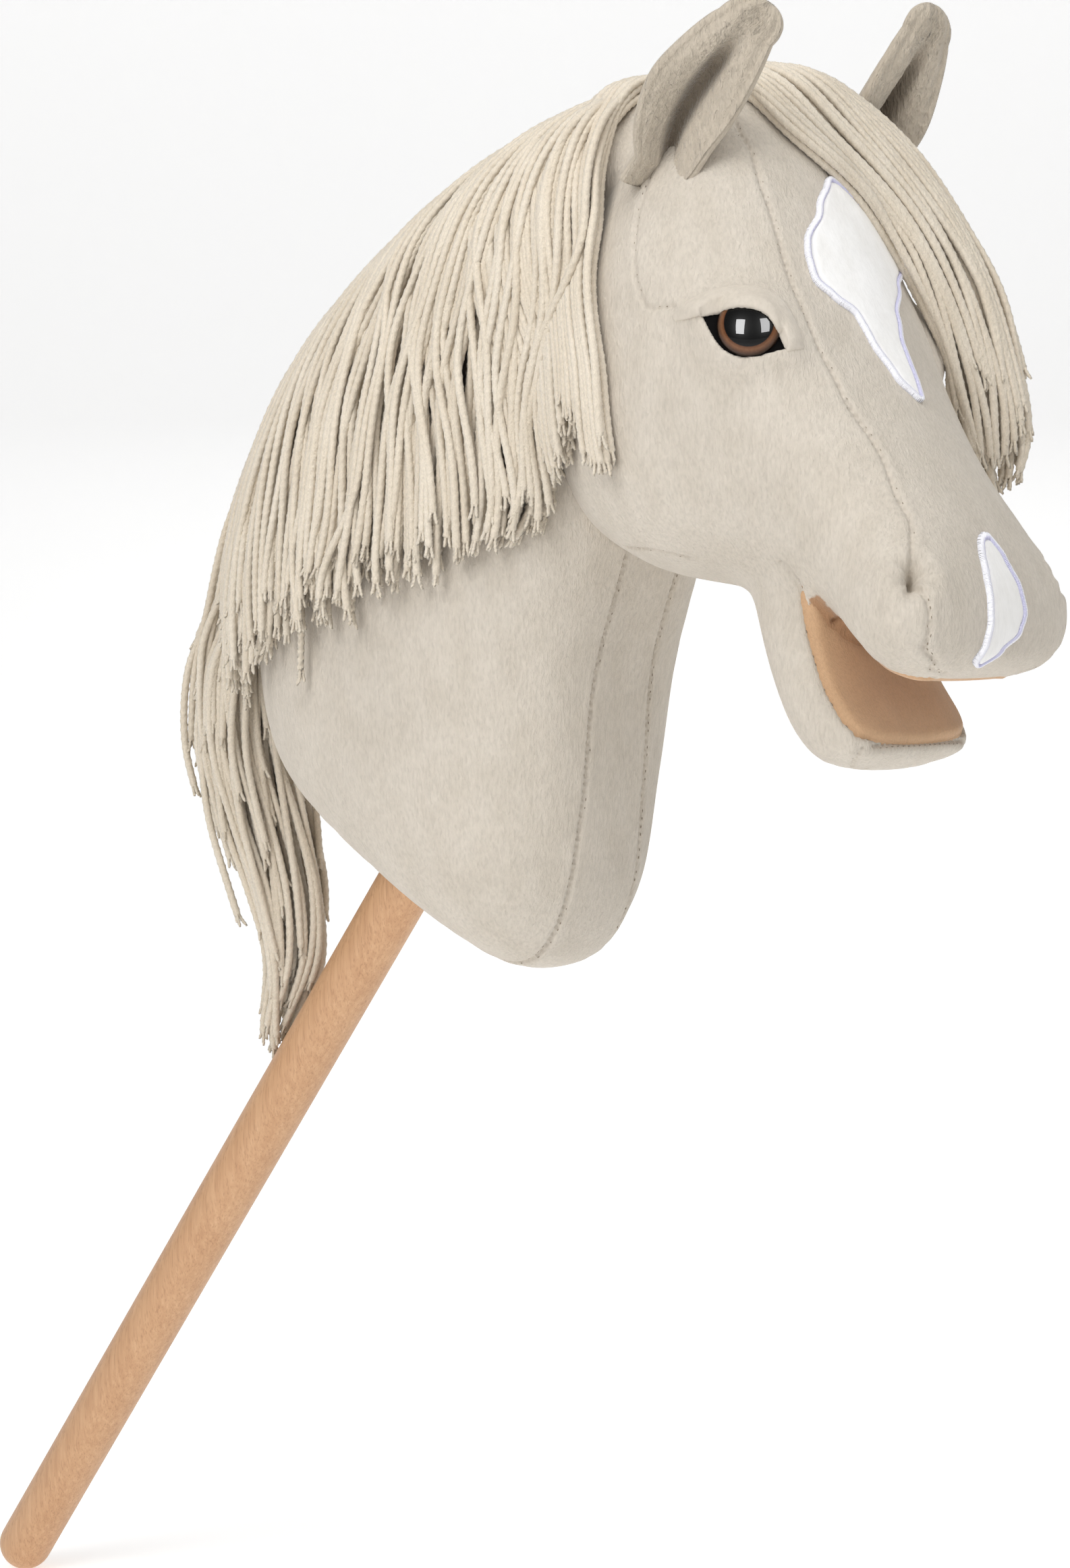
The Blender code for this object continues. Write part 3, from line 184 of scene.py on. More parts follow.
JAW = [
    (0.545, 0.556, 0.500, 0.556, 0.0300, 0.50, 2.0, 2.0),
    (0.556, 0.532, 0.498, 0.532, 0.0440, 0.50, 2.3, 2.2),
    (0.554, 0.508, 0.507, 0.506, 0.0470, 0.55, 2.6, 2.3),
    (0.560, 0.484, 0.517, 0.480, 0.0490, 0.60, 3.2, 2.4),
    (0.572, 0.466, 0.5275, 0.459, 0.0495, 0.60, 3.3, 2.4),
    (0.577, 0.4525, 0.541, 0.446, 0.0450, 0.60, 3.0, 2.3),
    (0.566, 0.4440, 0.554, 0.4425, 0.0180, 0.50, 2.0, 2.0),
]
# The mane lies on this shape: the neck, widened where the back of the head bulges out of it.
CURTAIN = [
    (0.388, 0.353, 0.207, 0.452, 0.0580, 0.50, 2.6, 2.2),
    (0.404, 0.383, 0.204, 0.489, 0.0710, 0.50, 2.8, 2.2),
    (0.411, 0.430, 0.206, 0.539, 0.0750, 0.50, 2.8, 2.2),
    (0.421, 0.485, 0.2215, 0.588, 0.0760, 0.50, 2.7, 2.1),
    (0.436, 0.540, 0.2545, 0.6335, 0.0740, 0.50, 2.4, 2.1),
    (0.462, 0.600, 0.3015, 0.6715, 0.0710, 0.50, 2.3, 2.1),
    (0.484, 0.650, 0.353, 0.7015, 0.0670, 0.50, 2.2, 2.1),
    (0.500, 0.690, 0.404, 0.7225, 0.0520, 0.45, 2.1, 2.1),
    (0.506, 0.710, 0.436, 0.730, 0.0300, 0.45, 2.0, 2.0),
]


# ------------------------------------------------------------------ shape functions
def curved(keys, u):
    """Value at u of a list of (u, value) keys, on one smooth curve through them all."""
    if u <= keys[0][0]:
        return keys[0][1]
    if u >= keys[-1][0]:
        return keys[-1][1]
    i = max(k for k in range(len(keys) - 1) if keys[k][0] <= u)

    def slope(k):
        a, b = keys[max(k - 1, 0)], keys[min(k + 1, len(keys) - 1)]
        return (b[1] - a[1]) / (b[0] - a[0])
    (u0, v0), (u1, v1) = keys[i], keys[i + 1]
    h = u1 - u0
    t = (u - u0) / h
    return v0 * (2 * t ** 3 - 3 * t * t + 1) + h * slope(i) * (t ** 3 - 2 * t * t + t) \
        + v1 * (3 * t * t - 2 * t ** 3) + h * slope(i + 1) * (t ** 3 - t * t)


def between(keys, u):
    """Value at u of a list of (u, value) keys, eased smoothly from one to the next."""
    if u <= keys[0][0]:
        return keys[0][1]
    for (u0, v0), (u1, v1) in zip(keys, keys[1:]):
        if u <= u1:
            t = (u - u0) / (u1 - u0)
            t = t * t * (3 - 2 * t)
            return v0 + (v1 - v0) * t
    return keys[-1][1]


class Loft:
    """A closed soft shape through cross-sections, read at u (0..1 along) and a (0 front, pi back)."""

    def __init__(self, rows):
        self.rows = np.array(rows, float)
        self.last = len(rows) - 1

    def row(self, u):
        t = min(max(u, 0.0), 1.0) * self.last
        i = min(int(t), self.last - 1)
        t -= i
        r = self.rows
        p1, p2 = r[i], r[i + 1]
        p0 = r[i - 1] if i > 0 else 2 * p1 - p2
        p3 = r[i + 2] if i + 2 <= self.last else 2 * p2 - p1
        return 0.5 * (2 * p1 + (p2 - p0) * t + (2 * p0 - 5 * p1 + 4 * p2 - p3) * t * t
                      + (3 * p1 - p0 - 3 * p2 + p3) * t ** 3)

    def angle_at(self, u, y):
        """Ring angle in front of the widest point where the surface is y from the middle."""
        r = self.row(u)
        return math.asin(min(1.0, (abs(y) / r[4])) ** (r[6] / 2))

    def angle_behind(self, u, y):
        r = self.row(u)
        return math.pi - math.asin(min(1.0, (abs(y) / r[4])) ** (r[7] / 2))

    def bare(self, u, a):
        fx, fz, bx, bz, w, c, nf, nb = self.row(u)
        ca, sa = math.cos(a), math.sin(a)
        mx, mz = bx + c * (fx - bx), bz + c * (fz - bz)
        n = nf if ca > 0 else nb
        k = abs(ca) ** (2 / n)
        ex, ez = (fx, fz) if ca > 0 else (bx, bz)
        return np.array([mx + (ex - mx) * k,
                         -math.copysign(w * abs(sa) ** (2 / n), sa),
                         mz + (ez - mz) * k])

    def normal(self, u, a):
        h = 0.012
        u0, u1 = max(0.0, u - h), min(1.0, u + h)
        du = self.bare(u1, a) - self.bare(u0, a)
        da = self.bare(u, a + 0.02) - self.bare(u, a - 0.02)
        n = np.cross(du, da)
        r = self.row(u)
        inside = np.array([0.5 * (r[0] + r[2]), 0.0, 0.5 * (r[1] + r[3])])
        if np.dot(n, self.bare(u, a) - inside) < 0:
            n = -n
        size = np.linalg.norm(n)
        return n / size if size > 1e-12 else n

    def at(self, u, a, out=0.0):
        """Point at (u, a), moved out of the surface by out; positive a is the right-hand side."""
        p = self.bare(u, a)
        return p + self.normal(u, a) * out if out else p

    def solid(self, out, nu, na, u0=0.0, u1=1.0):
        """The whole volume, grown by out (or shrunk, if negative), with rounded poles."""
        v, f = [], []
        for i in range(nu + 1):
            u = u0 + (u1 - u0) * i / nu
            for j in range(na):
                v.append(self.at(u, 2 * math.pi * j / na, out))
        for i in range(nu):
            for j in range(na):
                a, b = i * na + j, i * na + (j + 1) % na
                f.append((a, a + na, b + na, b))
        for i, step in ((0, -1), (nu, 1)):
            ring = v[i * na:(i + 1) * na]
            inner = v[(i - step) * na:(i - step) * na + na]
            mid = np.mean(ring, axis=0)
            way = mid - np.mean(inner, axis=0)
            v.append(mid + way / np.linalg.norm(way) * 0.0006)
            pole = len(v) - 1
            for j in range(na):
                f.append((i * na + j, i * na + (j + 1) % na, pole))
        return v, f

    def patch(self, us, low, high, inner, outer, na):
        """A sheet between two offsets of the surface; low and high give its edges in a at u."""
        top, bottom = [], []
        for i, u in enumerate(us):
            lo, hi = low(u), high(u)
            for j in range(na + 1):
                t = j / na
                a = lo + (hi - lo) * t
                thick = outer(i / (len(us) - 1), t) if callable(outer) else outer
                top.append(self.at(u, a, thick))
                bottom.append(self.at(u, a, inner))
        n, m = len(us), na + 1
        v = top + bottom
        k = n * m
        f = []
        for i in range(n - 1):
            for j in range(na):
                a, b, c, d = i * m + j, i * m + j + 1, (i + 1) * m + j + 1, (i + 1) * m + j
                f += [(a, b, c, d), (k + a, k + d, k + c, k + b)]
        edge = [(i, 0) for i in range(n)] + [(n - 1, j) for j in range(1, m)]
        edge += [(i, na) for i in range(n - 2, -1, -1)] + [(0, j) for j in range(na - 1, 0, -1)]
        loop = [i * m + j for i, j in edge]
        for a, b in zip(loop, loop[1:] + loop[:1]):
            f.append((a, b, k + b, k + a))
        return v, f


def front_edge(loft, keys, extra):
    """Ring angle of a seam on the front half, as a function of u."""
    return lambda u: loft.angle_at(u, between(keys, u) + extra)


def back_edge(loft, keys, extra):
    return lambda u: loft.angle_behind(u, between(keys, u) + extra)


def spread(lo, hi, n):
    return [lo + (hi - lo) * i / n for i in range(n + 1)]


# ------------------------------------------------------------------ mesh helpers
SCENE = bpy.context.scene
HEAD_BODY, STICK_BODY = "head", "stick"
rng = random.Random(7)


def fast_mesh(name, verts, quads, tris=None):
    quads = np.asarray(quads, np.int32).reshape(-1, 4)
    tris = np.zeros((0, 3), np.int32) if tris is None or len(tris) == 0 else np.asarray(tris, np.int32).reshape(-1, 3)
    mesh = bpy.data.meshes.new(name)
    verts = np.asarray(verts, np.float32)
    mesh.vertices.add(len(verts))
    mesh.vertices.foreach_set("co", verts.ravel())
    loops = np.concatenate([quads.ravel(), tris.ravel()]).astype(np.int32)
    mesh.loops.add(len(loops))
    mesh.loops.foreach_set("vertex_index", loops)
    starts = np.concatenate([np.arange(len(quads)) * 4, len(quads) * 4 + np.arange(len(tris)) * 3]).astype(np.int32)
    mesh.polygons.add(len(starts))
    mesh.polygons.foreach_set("loop_start", starts)
    mesh.update(calc_edges=True)
    mesh.validate()
    mesh.shade_smooth()
    return mesh


def place(name, mesh, mat, body=HEAD_BODY):
    obj = bpy.data.objects.new(name, mesh)
    SCENE.collection.objects.link(obj)
    if mat is not None:
        mesh.materials.clear()
        mesh.materials.append(mat)
    if body:
        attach(obj, body)
    return obj


def outward(mesh):
    bm = bmesh.new()
    bm.from_mesh(mesh)
    bmesh.ops.recalc_face_normals(bm, faces=bm.faces[:])
    bm.to_mesh(mesh)
    bm.free()
    mesh.shade_smooth()


def coords(mesh):
    co = np.empty(len(mesh.vertices) * 3, np.float32)
    mesh.vertices.foreach_get("co", co)
    return co.reshape(-1, 3).astype(float)


def set_coords(mesh, co):
    mesh.vertices.foreach_set("co", np.asarray(co, np.float32).ravel())
    mesh.update()


def normals(mesh):
    n = np.empty(len(mesh.vertices) * 3, np.float32)
    mesh.vertex_normals.foreach_get("vector", n)
    return n.reshape(-1, 3).astype(float)


def edges_of(mesh):
    e = np.empty(len(mesh.edges) * 2, np.int32)
    mesh.edges.foreach_get("vertices", e)
    return e.reshape(-1, 2)


def relax(co, edges, weight, rounds):
    deg = np.maximum(np.bincount(edges.ravel(), minlength=len(co)), 1)[:, None]
    for _ in range(rounds):
        s = np.zeros_like(co)
        np.add.at(s, edges[:, 0], co[edges[:, 1]])
        np.add.at(s, edges[:, 1], co[edges[:, 0]])
        co = co + weight[:, None] * (s / deg - co)
    return co


def add_float(mesh, name, values):
    attr = mesh.attributes.new(name, "FLOAT", "POINT")
    attr.data.foreach_set("value", np.asarray(values, np.float32))


def tree_of(mesh):
    bm = bmesh.new()
    bm.from_mesh(mesh)
    tree = BVHTree.FromBMesh(bm)
    bm.free()
    return tree


def kd_of(points):
    kd = KDTree(len(points))
    for i, p in enumerate(points):
        kd.insert(p, i)
    kd.balance()
    return kd


def evaluated_mesh(obj):
    deps = bpy.context.evaluated_depsgraph_get()
    deps.update()
    return bpy.data.meshes.new_from_object(obj.evaluated_get(deps))


def remeshed(name, shapes, voxel):
    """One closed skin round the given solids."""
    v, f = [], []
    for sv, sf in shapes:
        k = len(v)
        v += [tuple(p) for p in sv]
        f += [tuple(i + k for i in face) for face in sf]
    mesh = bpy.data.meshes.new(name)
    mesh.from_pydata(v, [], f)
    outward(mesh)
    obj = bpy.data.objects.new(name + "_blank", mesh)
    SCENE.collection.objects.link(obj)
    mod = obj.modifiers.new("remesh", "REMESH")
    mod.mode = "VOXEL"
    mod.voxel_size = voxel
    mod.adaptivity = 0.0
    out = evaluated_mesh(obj)
    bpy.data.objects.remove(obj)
    out.materials.clear()
    return out


def stuffed(mesh, pins, cap, pressure=4.0, frames=20):
    """Cloth under air pressure, held along its seams; no point moves further than cap."""
    obj = bpy.data.objects.new("stuffing_work", mesh)
    SCENE.collection.objects.link(obj)
    group = obj.vertex_groups.new(name="pin")
    group.add([int(i) for i in np.nonzero(pins)[0]], 1.0, "REPLACE")
    mod = obj.modifiers.new("cloth", "CLOTH")
    st = mod.settings
    st.quality = 6
    st.mass = 0.25
    st.tension_stiffness = 18
    st.compression_stiffness = 18
    st.shear_stiffness = 8
    st.bending_stiffness = 0.35
    st.use_pressure = True
    st.uniform_pressure_force = pressure
    st.vertex_group_mass = "pin"
    st.effector_weights.gravity = 0.0
    mod.collision_settings.use_collision = False
    before = coords(mesh)
    for frame_no in range(1, frames + 1):
        SCENE.frame_set(frame_no)
    after_mesh = evaluated_mesh(obj)
    after = coords(after_mesh)
    bpy.data.meshes.remove(after_mesh)
    SCENE.frame_set(1)
    bpy.data.objects.remove(obj)
    move = after - before
    far = np.linalg.norm(move, axis=1)
    move *= (cap * np.tanh(far / cap) / np.maximum(far, 1e-9))[:, None]
    out = mesh.copy()
    bpy.data.meshes.remove(mesh)
    set_coords(out, before + move)
    return out


def subdivided(mesh, levels=1):
    obj = bpy.data.objects.new("subdivide_work", mesh)
    SCENE.collection.objects.link(obj)
    mod = obj.modifiers.new("sub", "SUBSURF")
    mod.levels = mod.render_levels = levels
    out = evaluated_mesh(obj)
    bpy.data.objects.remove(obj)
    return out


def refined(mesh, kd, reach):
    """Splits the faces that lie within reach of the points in kd."""
    bm = bmesh.new()
    bm.from_mesh(mesh)
    near = set()
    for vert in bm.verts:
        _, _, dist = kd.find(vert.co)
        if dist < reach:
            near.add(vert)
    edges = [e for e in bm.edges if e.verts[0] in near and e.verts[1] in near]
    bmesh.ops.subdivide_edges(bm, edges=edges, cuts=1, use_grid_fill=True)
    bm.to_mesh(mesh)
    bm.free()
    mesh.shade_smooth()
    return mesh


def spline(points, n):
    """n points evenly spaced along a smooth curve through points."""
    p = np.array(points, float)
    ext = np.vstack([2 * p[0] - p[1], p, 2 * p[-1] - p[-2]])
    out = []
    for i in range(len(p) - 1):
        p0, p1, p2, p3 = ext[i:i + 4]
        for k in range(24):
            t = k / 24
            out.append(0.5 * (2 * p1 + (p2 - p0) * t + (2 * p0 - 5 * p1 + 4 * p2 - p3) * t * t
                              + (3 * p1 - p0 - 3 * p2 + p3) * t ** 3))
    out.append(p[-1])
    return evenly(np.array(out), n)


def evenly(path, n):
    d = np.concatenate([[0], np.cumsum(np.linalg.norm(np.diff(path, axis=0), axis=1))])
    s = np.linspace(0, d[-1], n)
    return np.stack([np.interp(s, d, path[:, k]) for k in range(path.shape[1])], axis=1)


def length_of(path):
    return float(np.linalg.norm(np.diff(path, axis=0), axis=1).sum())


def flip(points):
    return [np.array([p[0], -p[1], p[2]]) for p in points]


# ------------------------------------------------------------------ materials
def nodes_of(name):
    mat = bpy.data.materials.new(name)
    mat.use_nodes = True
    tree = mat.node_tree
    return mat, tree, tree.nodes["Principled BSDF"]


def link(tree, a, b):
    tree.links.new(a, b)


def noise_at(tree, scale_xyz, detail=3.0, rough=0.6, turn=(0, 0, 0), distortion=0.0):
    """Noise in object space, stretched by its three scales."""
    coord = tree.nodes.new("ShaderNodeTexCoord")
    mapping = tree.nodes.new("ShaderNodeMapping")
    mapping.inputs["Rotation"].default_value = turn
    mapping.inputs["Scale"].default_value = scale_xyz
    noise = tree.nodes.new("ShaderNodeTexNoise")
    noise.inputs["Scale"].default_value = 1.0
    noise.inputs["Detail"].default_value = detail
    noise.inputs["Roughness"].default_value = rough
    noise.inputs["Distortion"].default_value = distortion
    link(tree, coord.outputs["Object"], mapping.inputs["Vector"])
    link(tree, mapping.outputs["Vector"], noise.inputs["Vector"])
    return noise.outputs["Fac"]


def ramp(tree, fac, stops):
    node = tree.nodes.new("ShaderNodeValToRGB")
    node.color_ramp.elements[0].position, node.color_ramp.elements[0].color = stops[0][0], (*stops[0][1], 1)
    node.color_ramp.elements[1].position, node.color_ramp.elements[1].color = stops[-1][0], (*stops[-1][1], 1)
    for pos, colour in stops[1:-1]:
        node.color_ramp.elements.new(pos).color = (*colour, 1)
    link(tree, fac, node.inputs["Fac"])
    return node.outputs["Color"]


def mixed(tree, a, b, fac, mode="MIX"):
    node = tree.nodes.new("ShaderNodeMix")
    node.data_type = "RGBA"
    node.blend_type = mode
    for socket, value in ((node.inputs[6], a), (node.inputs[7], b)):
        if isinstance(value, tuple):
            socket.default_value = (*value, 1)
        else:
            link(tree, value, socket)
    if isinstance(fac, float):
        node.inputs[0].default_value = fac
    else:
        link(tree, fac, node.inputs[0])
    return node.outputs[2]


def bumped(tree, shader, parts):
    """Bumps in a chain: (height socket, strength, distance in metres)."""
    last = None
    for height, strength, distance in parts:
        node = tree.nodes.new("ShaderNodeBump")
        node.inputs["Strength"].default_value = strength
        node.inputs["Distance"].default_value = distance
        link(tree, height, node.inputs["Height"])
        if last is not None:
            link(tree, last, node.inputs["Normal"])
        last = node.outputs["Normal"]
    link(tree, last, shader.inputs["Normal"])


def shade(c, k):
    return tuple(min(1.0, x * k) for x in c)


def plush_material(name, colour, nap=(680, 680, 210), depth=0.0013, strength=0.85, contrast=0.26, sheen=0.30):
    mat, tree, shader = nodes_of(name)
    strokes = noise_at(tree, nap, 2.5, 0.55, distortion=0.4)
    fine = noise_at(tree, tuple(2.4 * x for x in nap), 2.0, 0.5)
    cloud = noise_at(tree, (16, 16, 13), 3.0, 0.55)
    brushed = noise_at(tree, (70, 70, 45), 2.0, 0.5)
    a = ramp(tree, strokes, [(0.30, shade(colour, 1 - contrast)), (0.52, colour), (0.74, shade(colour, 1 + contrast * 0.7))])
    b = ramp(tree, cloud, [(0.32, shade(colour, 0.90)), (0.62, shade(colour, 1.05))])
    c = mixed(tree, a, b, 0.35)
    d = mixed(tree, c, ramp(tree, brushed, [(0.35, (0.90, 0.89, 0.87)), (0.65, (1.0, 1.0, 1.0))]), 0.6, "MULTIPLY")
    link(tree, d, shader.inputs["Base Color"])
    shader.inputs["Roughness"].default_value = 0.95
    shader.inputs["Specular IOR Level"].default_value = 0.12
    shader.inputs["Sheen Weight"].default_value = sheen
    shader.inputs["Sheen Roughness"].default_value = 0.45
    shader.inputs["Sheen Tint"].default_value = (1.0, 0.97, 0.92, 1)
    bumped(tree, shader, [(brushed, 0.25, 0.002), (strokes, strength, depth), (fine, strength * 0.8, depth * 0.5)])
    return mat


def shaded_by(mat, attribute, low):
    """The material, with its colour falling to low of itself where the attribute is 1."""
    tree = mat.node_tree
    shader = next(n for n in tree.nodes if n.type == "BSDF_PRINCIPLED")
    source = shader.inputs["Base Color"].links[0].from_socket
    attr = tree.nodes.new("ShaderNodeAttribute")
    attr.attribute_name = attribute
    c = mixed(tree, source, ramp(tree, attr.outputs["Fac"], [(0.0, (1.0, 1.0, 1.0)), (1.0, low)]), 1.0, "MULTIPLY")
    link(tree, c, shader.inputs["Base Color"])
    return mat


def yarn_material(name, colour):
    mat, tree, shader = nodes_of(name)
    fuzz = noise_at(tree, (1500, 1500, 900), 3.0, 0.65)
    cloud = noise_at(tree, (90, 90, 30), 2.0, 0.5)
    tone = tree.nodes.new("ShaderNodeAttribute")
    tone.attribute_name = "tone"
    a = ramp(tree, fuzz, [(0.3, shade(colour, 0.86)), (0.7, shade(colour, 1.08))])
    b = mixed(tree, a, ramp(tree, cloud, [(0.35, (0.92, 0.90, 0.87)), (0.65, (1.0, 1.0, 1.0))]), 0.7, "MULTIPLY")
    # the tone attribute darkens a strand by up to a tenth: a random tone, plus painted shade on the strands laid
    # underneath, which get low values
    c = mixed(tree, b, ramp(tree, tone.outputs["Fac"], [(0.0, (0.95, 0.93, 0.90)), (1.0, (1.0, 1.0, 1.0))]), 1.0, "MULTIPLY")
    link(tree, c, shader.inputs["Base Color"])
    shader.inputs["Roughness"].default_value = 0.9
    shader.inputs["Specular IOR Level"].default_value = 0.15
    shader.inputs["Sheen Weight"].default_value = 0.4
    shader.inputs["Sheen Roughness"].default_value = 0.5
    bumped(tree, shader, [(fuzz, 0.7, 0.0004)])
    return mat


def woven_material(name, colour, pitch=900, rough=0.85):
    mat, tree, shader = nodes_of(name)
    cloth = noise_at(tree, (pitch, pitch, pitch), 2.0, 0.6)
    cloud = noise_at(tree, (60, 60, 60), 2.0, 0.5)
    a = ramp(tree, cloth, [(0.35, shade(colour, 0.82)), (0.65, shade(colour, 1.05))])
    b = mixed(tree, a, ramp(tree, cloud, [(0.3, shade(colour, 0.9)), (0.7, shade(colour, 1.05))]), 0.4)
    link(tree, b, shader.inputs["Base Color"])
    shader.inputs["Roughness"].default_value = rough
    shader.inputs["Sheen Weight"].default_value = 0.15
    bumped(tree, shader, [(cloth, 0.6, 0.0003)])
    return mat


def beech_material():
    mat, tree, shader = nodes_of("beech_wood")
    lean = (0, -STICK_LEAN, 0)
    grain = noise_at(tree, (520, 520, 7), 3.0, 0.6, lean)
    pores = noise_at(tree, (1500, 1500, 55), 2.0, 0.5, lean)
    bands = noise_at(tree, (90, 90, 2.2), 2.0, 0.5, lean)
    base = (0.600, 0.350, 0.185)
    a = ramp(tree, grain, [(0.30, (0.53, 0.295, 0.150)), (0.55, base), (0.75, (0.655, 0.400, 0.225))])
    b = mixed(tree, a, ramp(tree, bands, [(0.30, (0.92, 0.88, 0.84)), (0.65, (1.0, 1.0, 1.0))]), 0.8, "MULTIPLY")
    c = mixed(tree, b, ramp(tree, pores, [(0.36, (0.70, 0.62, 0.55)), (0.44, (1.0, 1.0, 1.0))]), 0.55, "MULTIPLY")
    link(tree, c, shader.inputs["Base Color"])
    shader.inputs["Roughness"].default_value = 0.48
    shader.inputs["Coat Weight"].default_value = 0.12
    shader.inputs["Coat Roughness"].default_value = 0.35
    bumped(tree, shader, [(grain, 0.12, 0.0003), (pores, 0.25, 0.0002)])
    return mat


def eye_material():
    mat, tree, shader = nodes_of("eye_dome_plastic")
    rad = tree.nodes.new("ShaderNodeAttribute")
    rad.attribute_name = "rad"
    iris = noise_at(tree, (900, 900, 900), 2.0, 0.6)
    ring = ramp(tree, rad.outputs["Fac"], [
        (0.0, (0.002, 0.002, 0.002)), (0.765, (0.002, 0.002, 0.002)), (0.790, (0.125, 0.050, 0.022)),
        (0.86, (0.190, 0.085, 0.040)), (0.925, (0.110, 0.052, 0.028)), (0.972, (0.045, 0.022, 0.012)),
        (1.0, (0.012, 0.006, 0.004))])
    c = mixed(tree, ring, ramp(tree, iris, [(0.35, (0.78, 0.74, 0.70)), (0.65, (1.0, 1.0, 1.0))]), 0.6, "MULTIPLY")
    link(tree, c, shader.inputs["Base Color"])
    shader.inputs["Roughness"].default_value = 0.35
    shader.inputs["Specular IOR Level"].default_value = 0.05
    shader.inputs["Coat Weight"].default_value = 0.60
    shader.inputs["Coat Roughness"].default_value = 0.0
    shader.inputs["Coat IOR"].default_value = 1.42
    bumped(tree, shader, [(iris, 0.02, 0.0001)])
    return mat


def satin_material(name, inner, outer):
    mat, tree, shader = nodes_of(name)
    side = tree.nodes.new("ShaderNodeAttribute")
    side.attribute_name = "side"
    thread = noise_at(tree, (2200, 2200, 2200), 2.0, 0.5)
    # where side is below 0.30 the band is lilac, blending to the outer colour by 0.44: a painted shade line along that
    # edge of the satin band
    a = ramp(tree, side.outputs["Fac"], [(0.0, inner), (0.30, inner), (0.44, outer), (1.0, outer)])
    b = mixed(tree, a, ramp(tree, thread, [(0.35, (0.90, 0.90, 0.92)), (0.6, (1.0, 1.0, 1.0))]), 0.7, "MULTIPLY")
    link(tree, b, shader.inputs["Base Color"])
    shader.inputs["Roughness"].default_value = 0.38
    shader.inputs["Sheen Weight"].default_value = 0.1
    bumped(tree, shader, [(thread, 0.4, 0.0002)])
    return mat


def plain_material(name, colour, rough, grain=300):
    mat, tree, shader = nodes_of(name)
    n = noise_at(tree, (grain, grain, grain), 3.0, 0.55)
    link(tree, ramp(tree, n, [(0.3, shade(colour, 0.9)), (0.7, shade(colour, 1.06))]), shader.inputs["Base Color"])
    shader.inputs["Roughness"].default_value = rough
    bumped(tree, shader, [(n, 0.3, 0.0002)])
    return mat


BEIGE = (0.615, 0.558, 0.482)
PLUSH_MAT = shaded_by(plush_material("beige_plush", BEIGE, (760, 760, 240), 0.0011, 0.62, 0.15), "corner", (0.66, 0.42, 0.27))
LID_MAT = plush_material("lid_plush", shade(BEIGE, 1.02), (520, 520, 300), 0.0006, 0.4, 0.10)
EAR_MAT = plush_material("ear_plush", (0.500, 0.440, 0.360), (640, 640, 220), 0.0009, 0.6, 0.12)
# ear lining: its colour falls to about a third where the pile mesh's fold attribute is 1, painted shade deep in the
# ear's valley
EAR_PILE_PAINTED_SHADE = shaded_by(plush_material("ear_long_pile", (0.525, 0.460, 0.375), (520, 520, 150), 0.0018, 0.9, 0.17, 0.4),
                     "fold", (0.34, 0.31, 0.28))
WHITE_MAT = plush_material("white_plush_nap", (0.93, 0.925, 0.915), (620, 620, 200), 0.0005, 0.3, 0.05, 0.3)
# mouth lining: its colour falls to painted shade where a mesh's fold attribute is 1
TAN_MAT = shaded_by(plush_material("tan_short_pile", (0.585, 0.375, 0.222), (1100, 1100, 700), 0.0005, 0.5, 0.13, 0.35),
                    "fold", (0.62, 0.57, 0.52))
YARN_MAT = yarn_material("cream_yarn", (0.790, 0.712, 0.594))
FELT_MAT = woven_material("black_felt_nap", (0.0045, 0.004, 0.004), 1500, 1.0)
for node in FELT_MAT.node_tree.nodes:
    if node.type == "BSDF_PRINCIPLED":
        node.inputs["Sheen Weight"].default_value = 0.0
        node.inputs["Specular IOR Level"].default_value = 0.05
THREAD_MAT = woven_material("seam_thread", (0.26, 0.205, 0.145), 2500, 0.8)
FIBRE_MAT = woven_material("filling_fibre", (0.86, 0.85, 0.82), 500, 1.0)
COTTON_MAT = woven_material("cotton_weave", (0.70, 0.66, 0.57), 1100, 0.9)
TAPE_MAT = woven_material("tape_weave", (0.70, 0.63, 0.52), 1300, 0.88)
WASHER_MAT = plain_material("washer_nylon", (0.80, 0.79, 0.76), 0.45)
EYE_MAT = eye_material()
# the lilac is a painted shade line along one edge of the white satin border
SATIN_MAT = satin_material("satin_stitch", (0.62, 0.61, 0.80), (0.88, 0.88, 0.93))
WOOD_MAT = beech_material()

neck, head, jaw, curtain = Loft(NECK), Loft(HEAD), Loft(JAW), Loft(CURTAIN)


def on_brow(u, y, out=0.0):
    a = head.angle_at(u, y)
    return head.at(u, -a if y > 0 else a, out)


# ------------------------------------------------------------------ seams (world points)
def seam_on(loft, us, angle):
    return [loft.at(u, angle(u)) for u in us]


fine = spread(0.05, 0.985, 90)
gusset_right = spline(seam_on(head, fine, front_edge(head, GUSSET, 0.0)), 700)
side_right = spline([head.at(u, a) for u, a in
                     [(0.165, 1.20), (0.190, 1.30), (0.220, 1.37), (0.258, 1.40), (0.283, 1.39), (0.300, 1.36),
                      (0.319, 1.23)]], 110)
cheek_right = spline([head.at(u, a) for u, a in [(0.405, 2.57), (0.424, 2.47), (0.442, 2.39), (0.478, 2.36)]], 60)
chin_right = spline(seam_on(head, spread(0.36, 0.60, 30), back_edge(head, UNDER, 0.0)), 120)
chin_low_right = spline(seam_on(jaw, spread(0.25, 0.985, 40), lambda u: jaw.angle_behind(u, CHIN)), 220)
lining_right = spline(seam_on(jaw, spread(0.08, 0.775, 60), front_edge(jaw, LINING, 0.0)), 260)
lining_low = spline([jaw.at(0.785, t) for t in np.linspace(-0.62, 0.62, 25)], 150)
palate_right = spline(seam_on(head, spread(0.66, 0.98, 40), back_edge(head, UNDER, 0.0)), 160)
throat_right = spline(seam_on(neck, spread(0.03, 0.66, 70), front_edge(neck, THROAT, 0.0)), 420)
chin_tip = spline([jaw.at(u, a) for u, a in [(0.80, 0.88), (0.845, 1.10), (0.90, 1.45), (0.95, 2.0)]], 60)

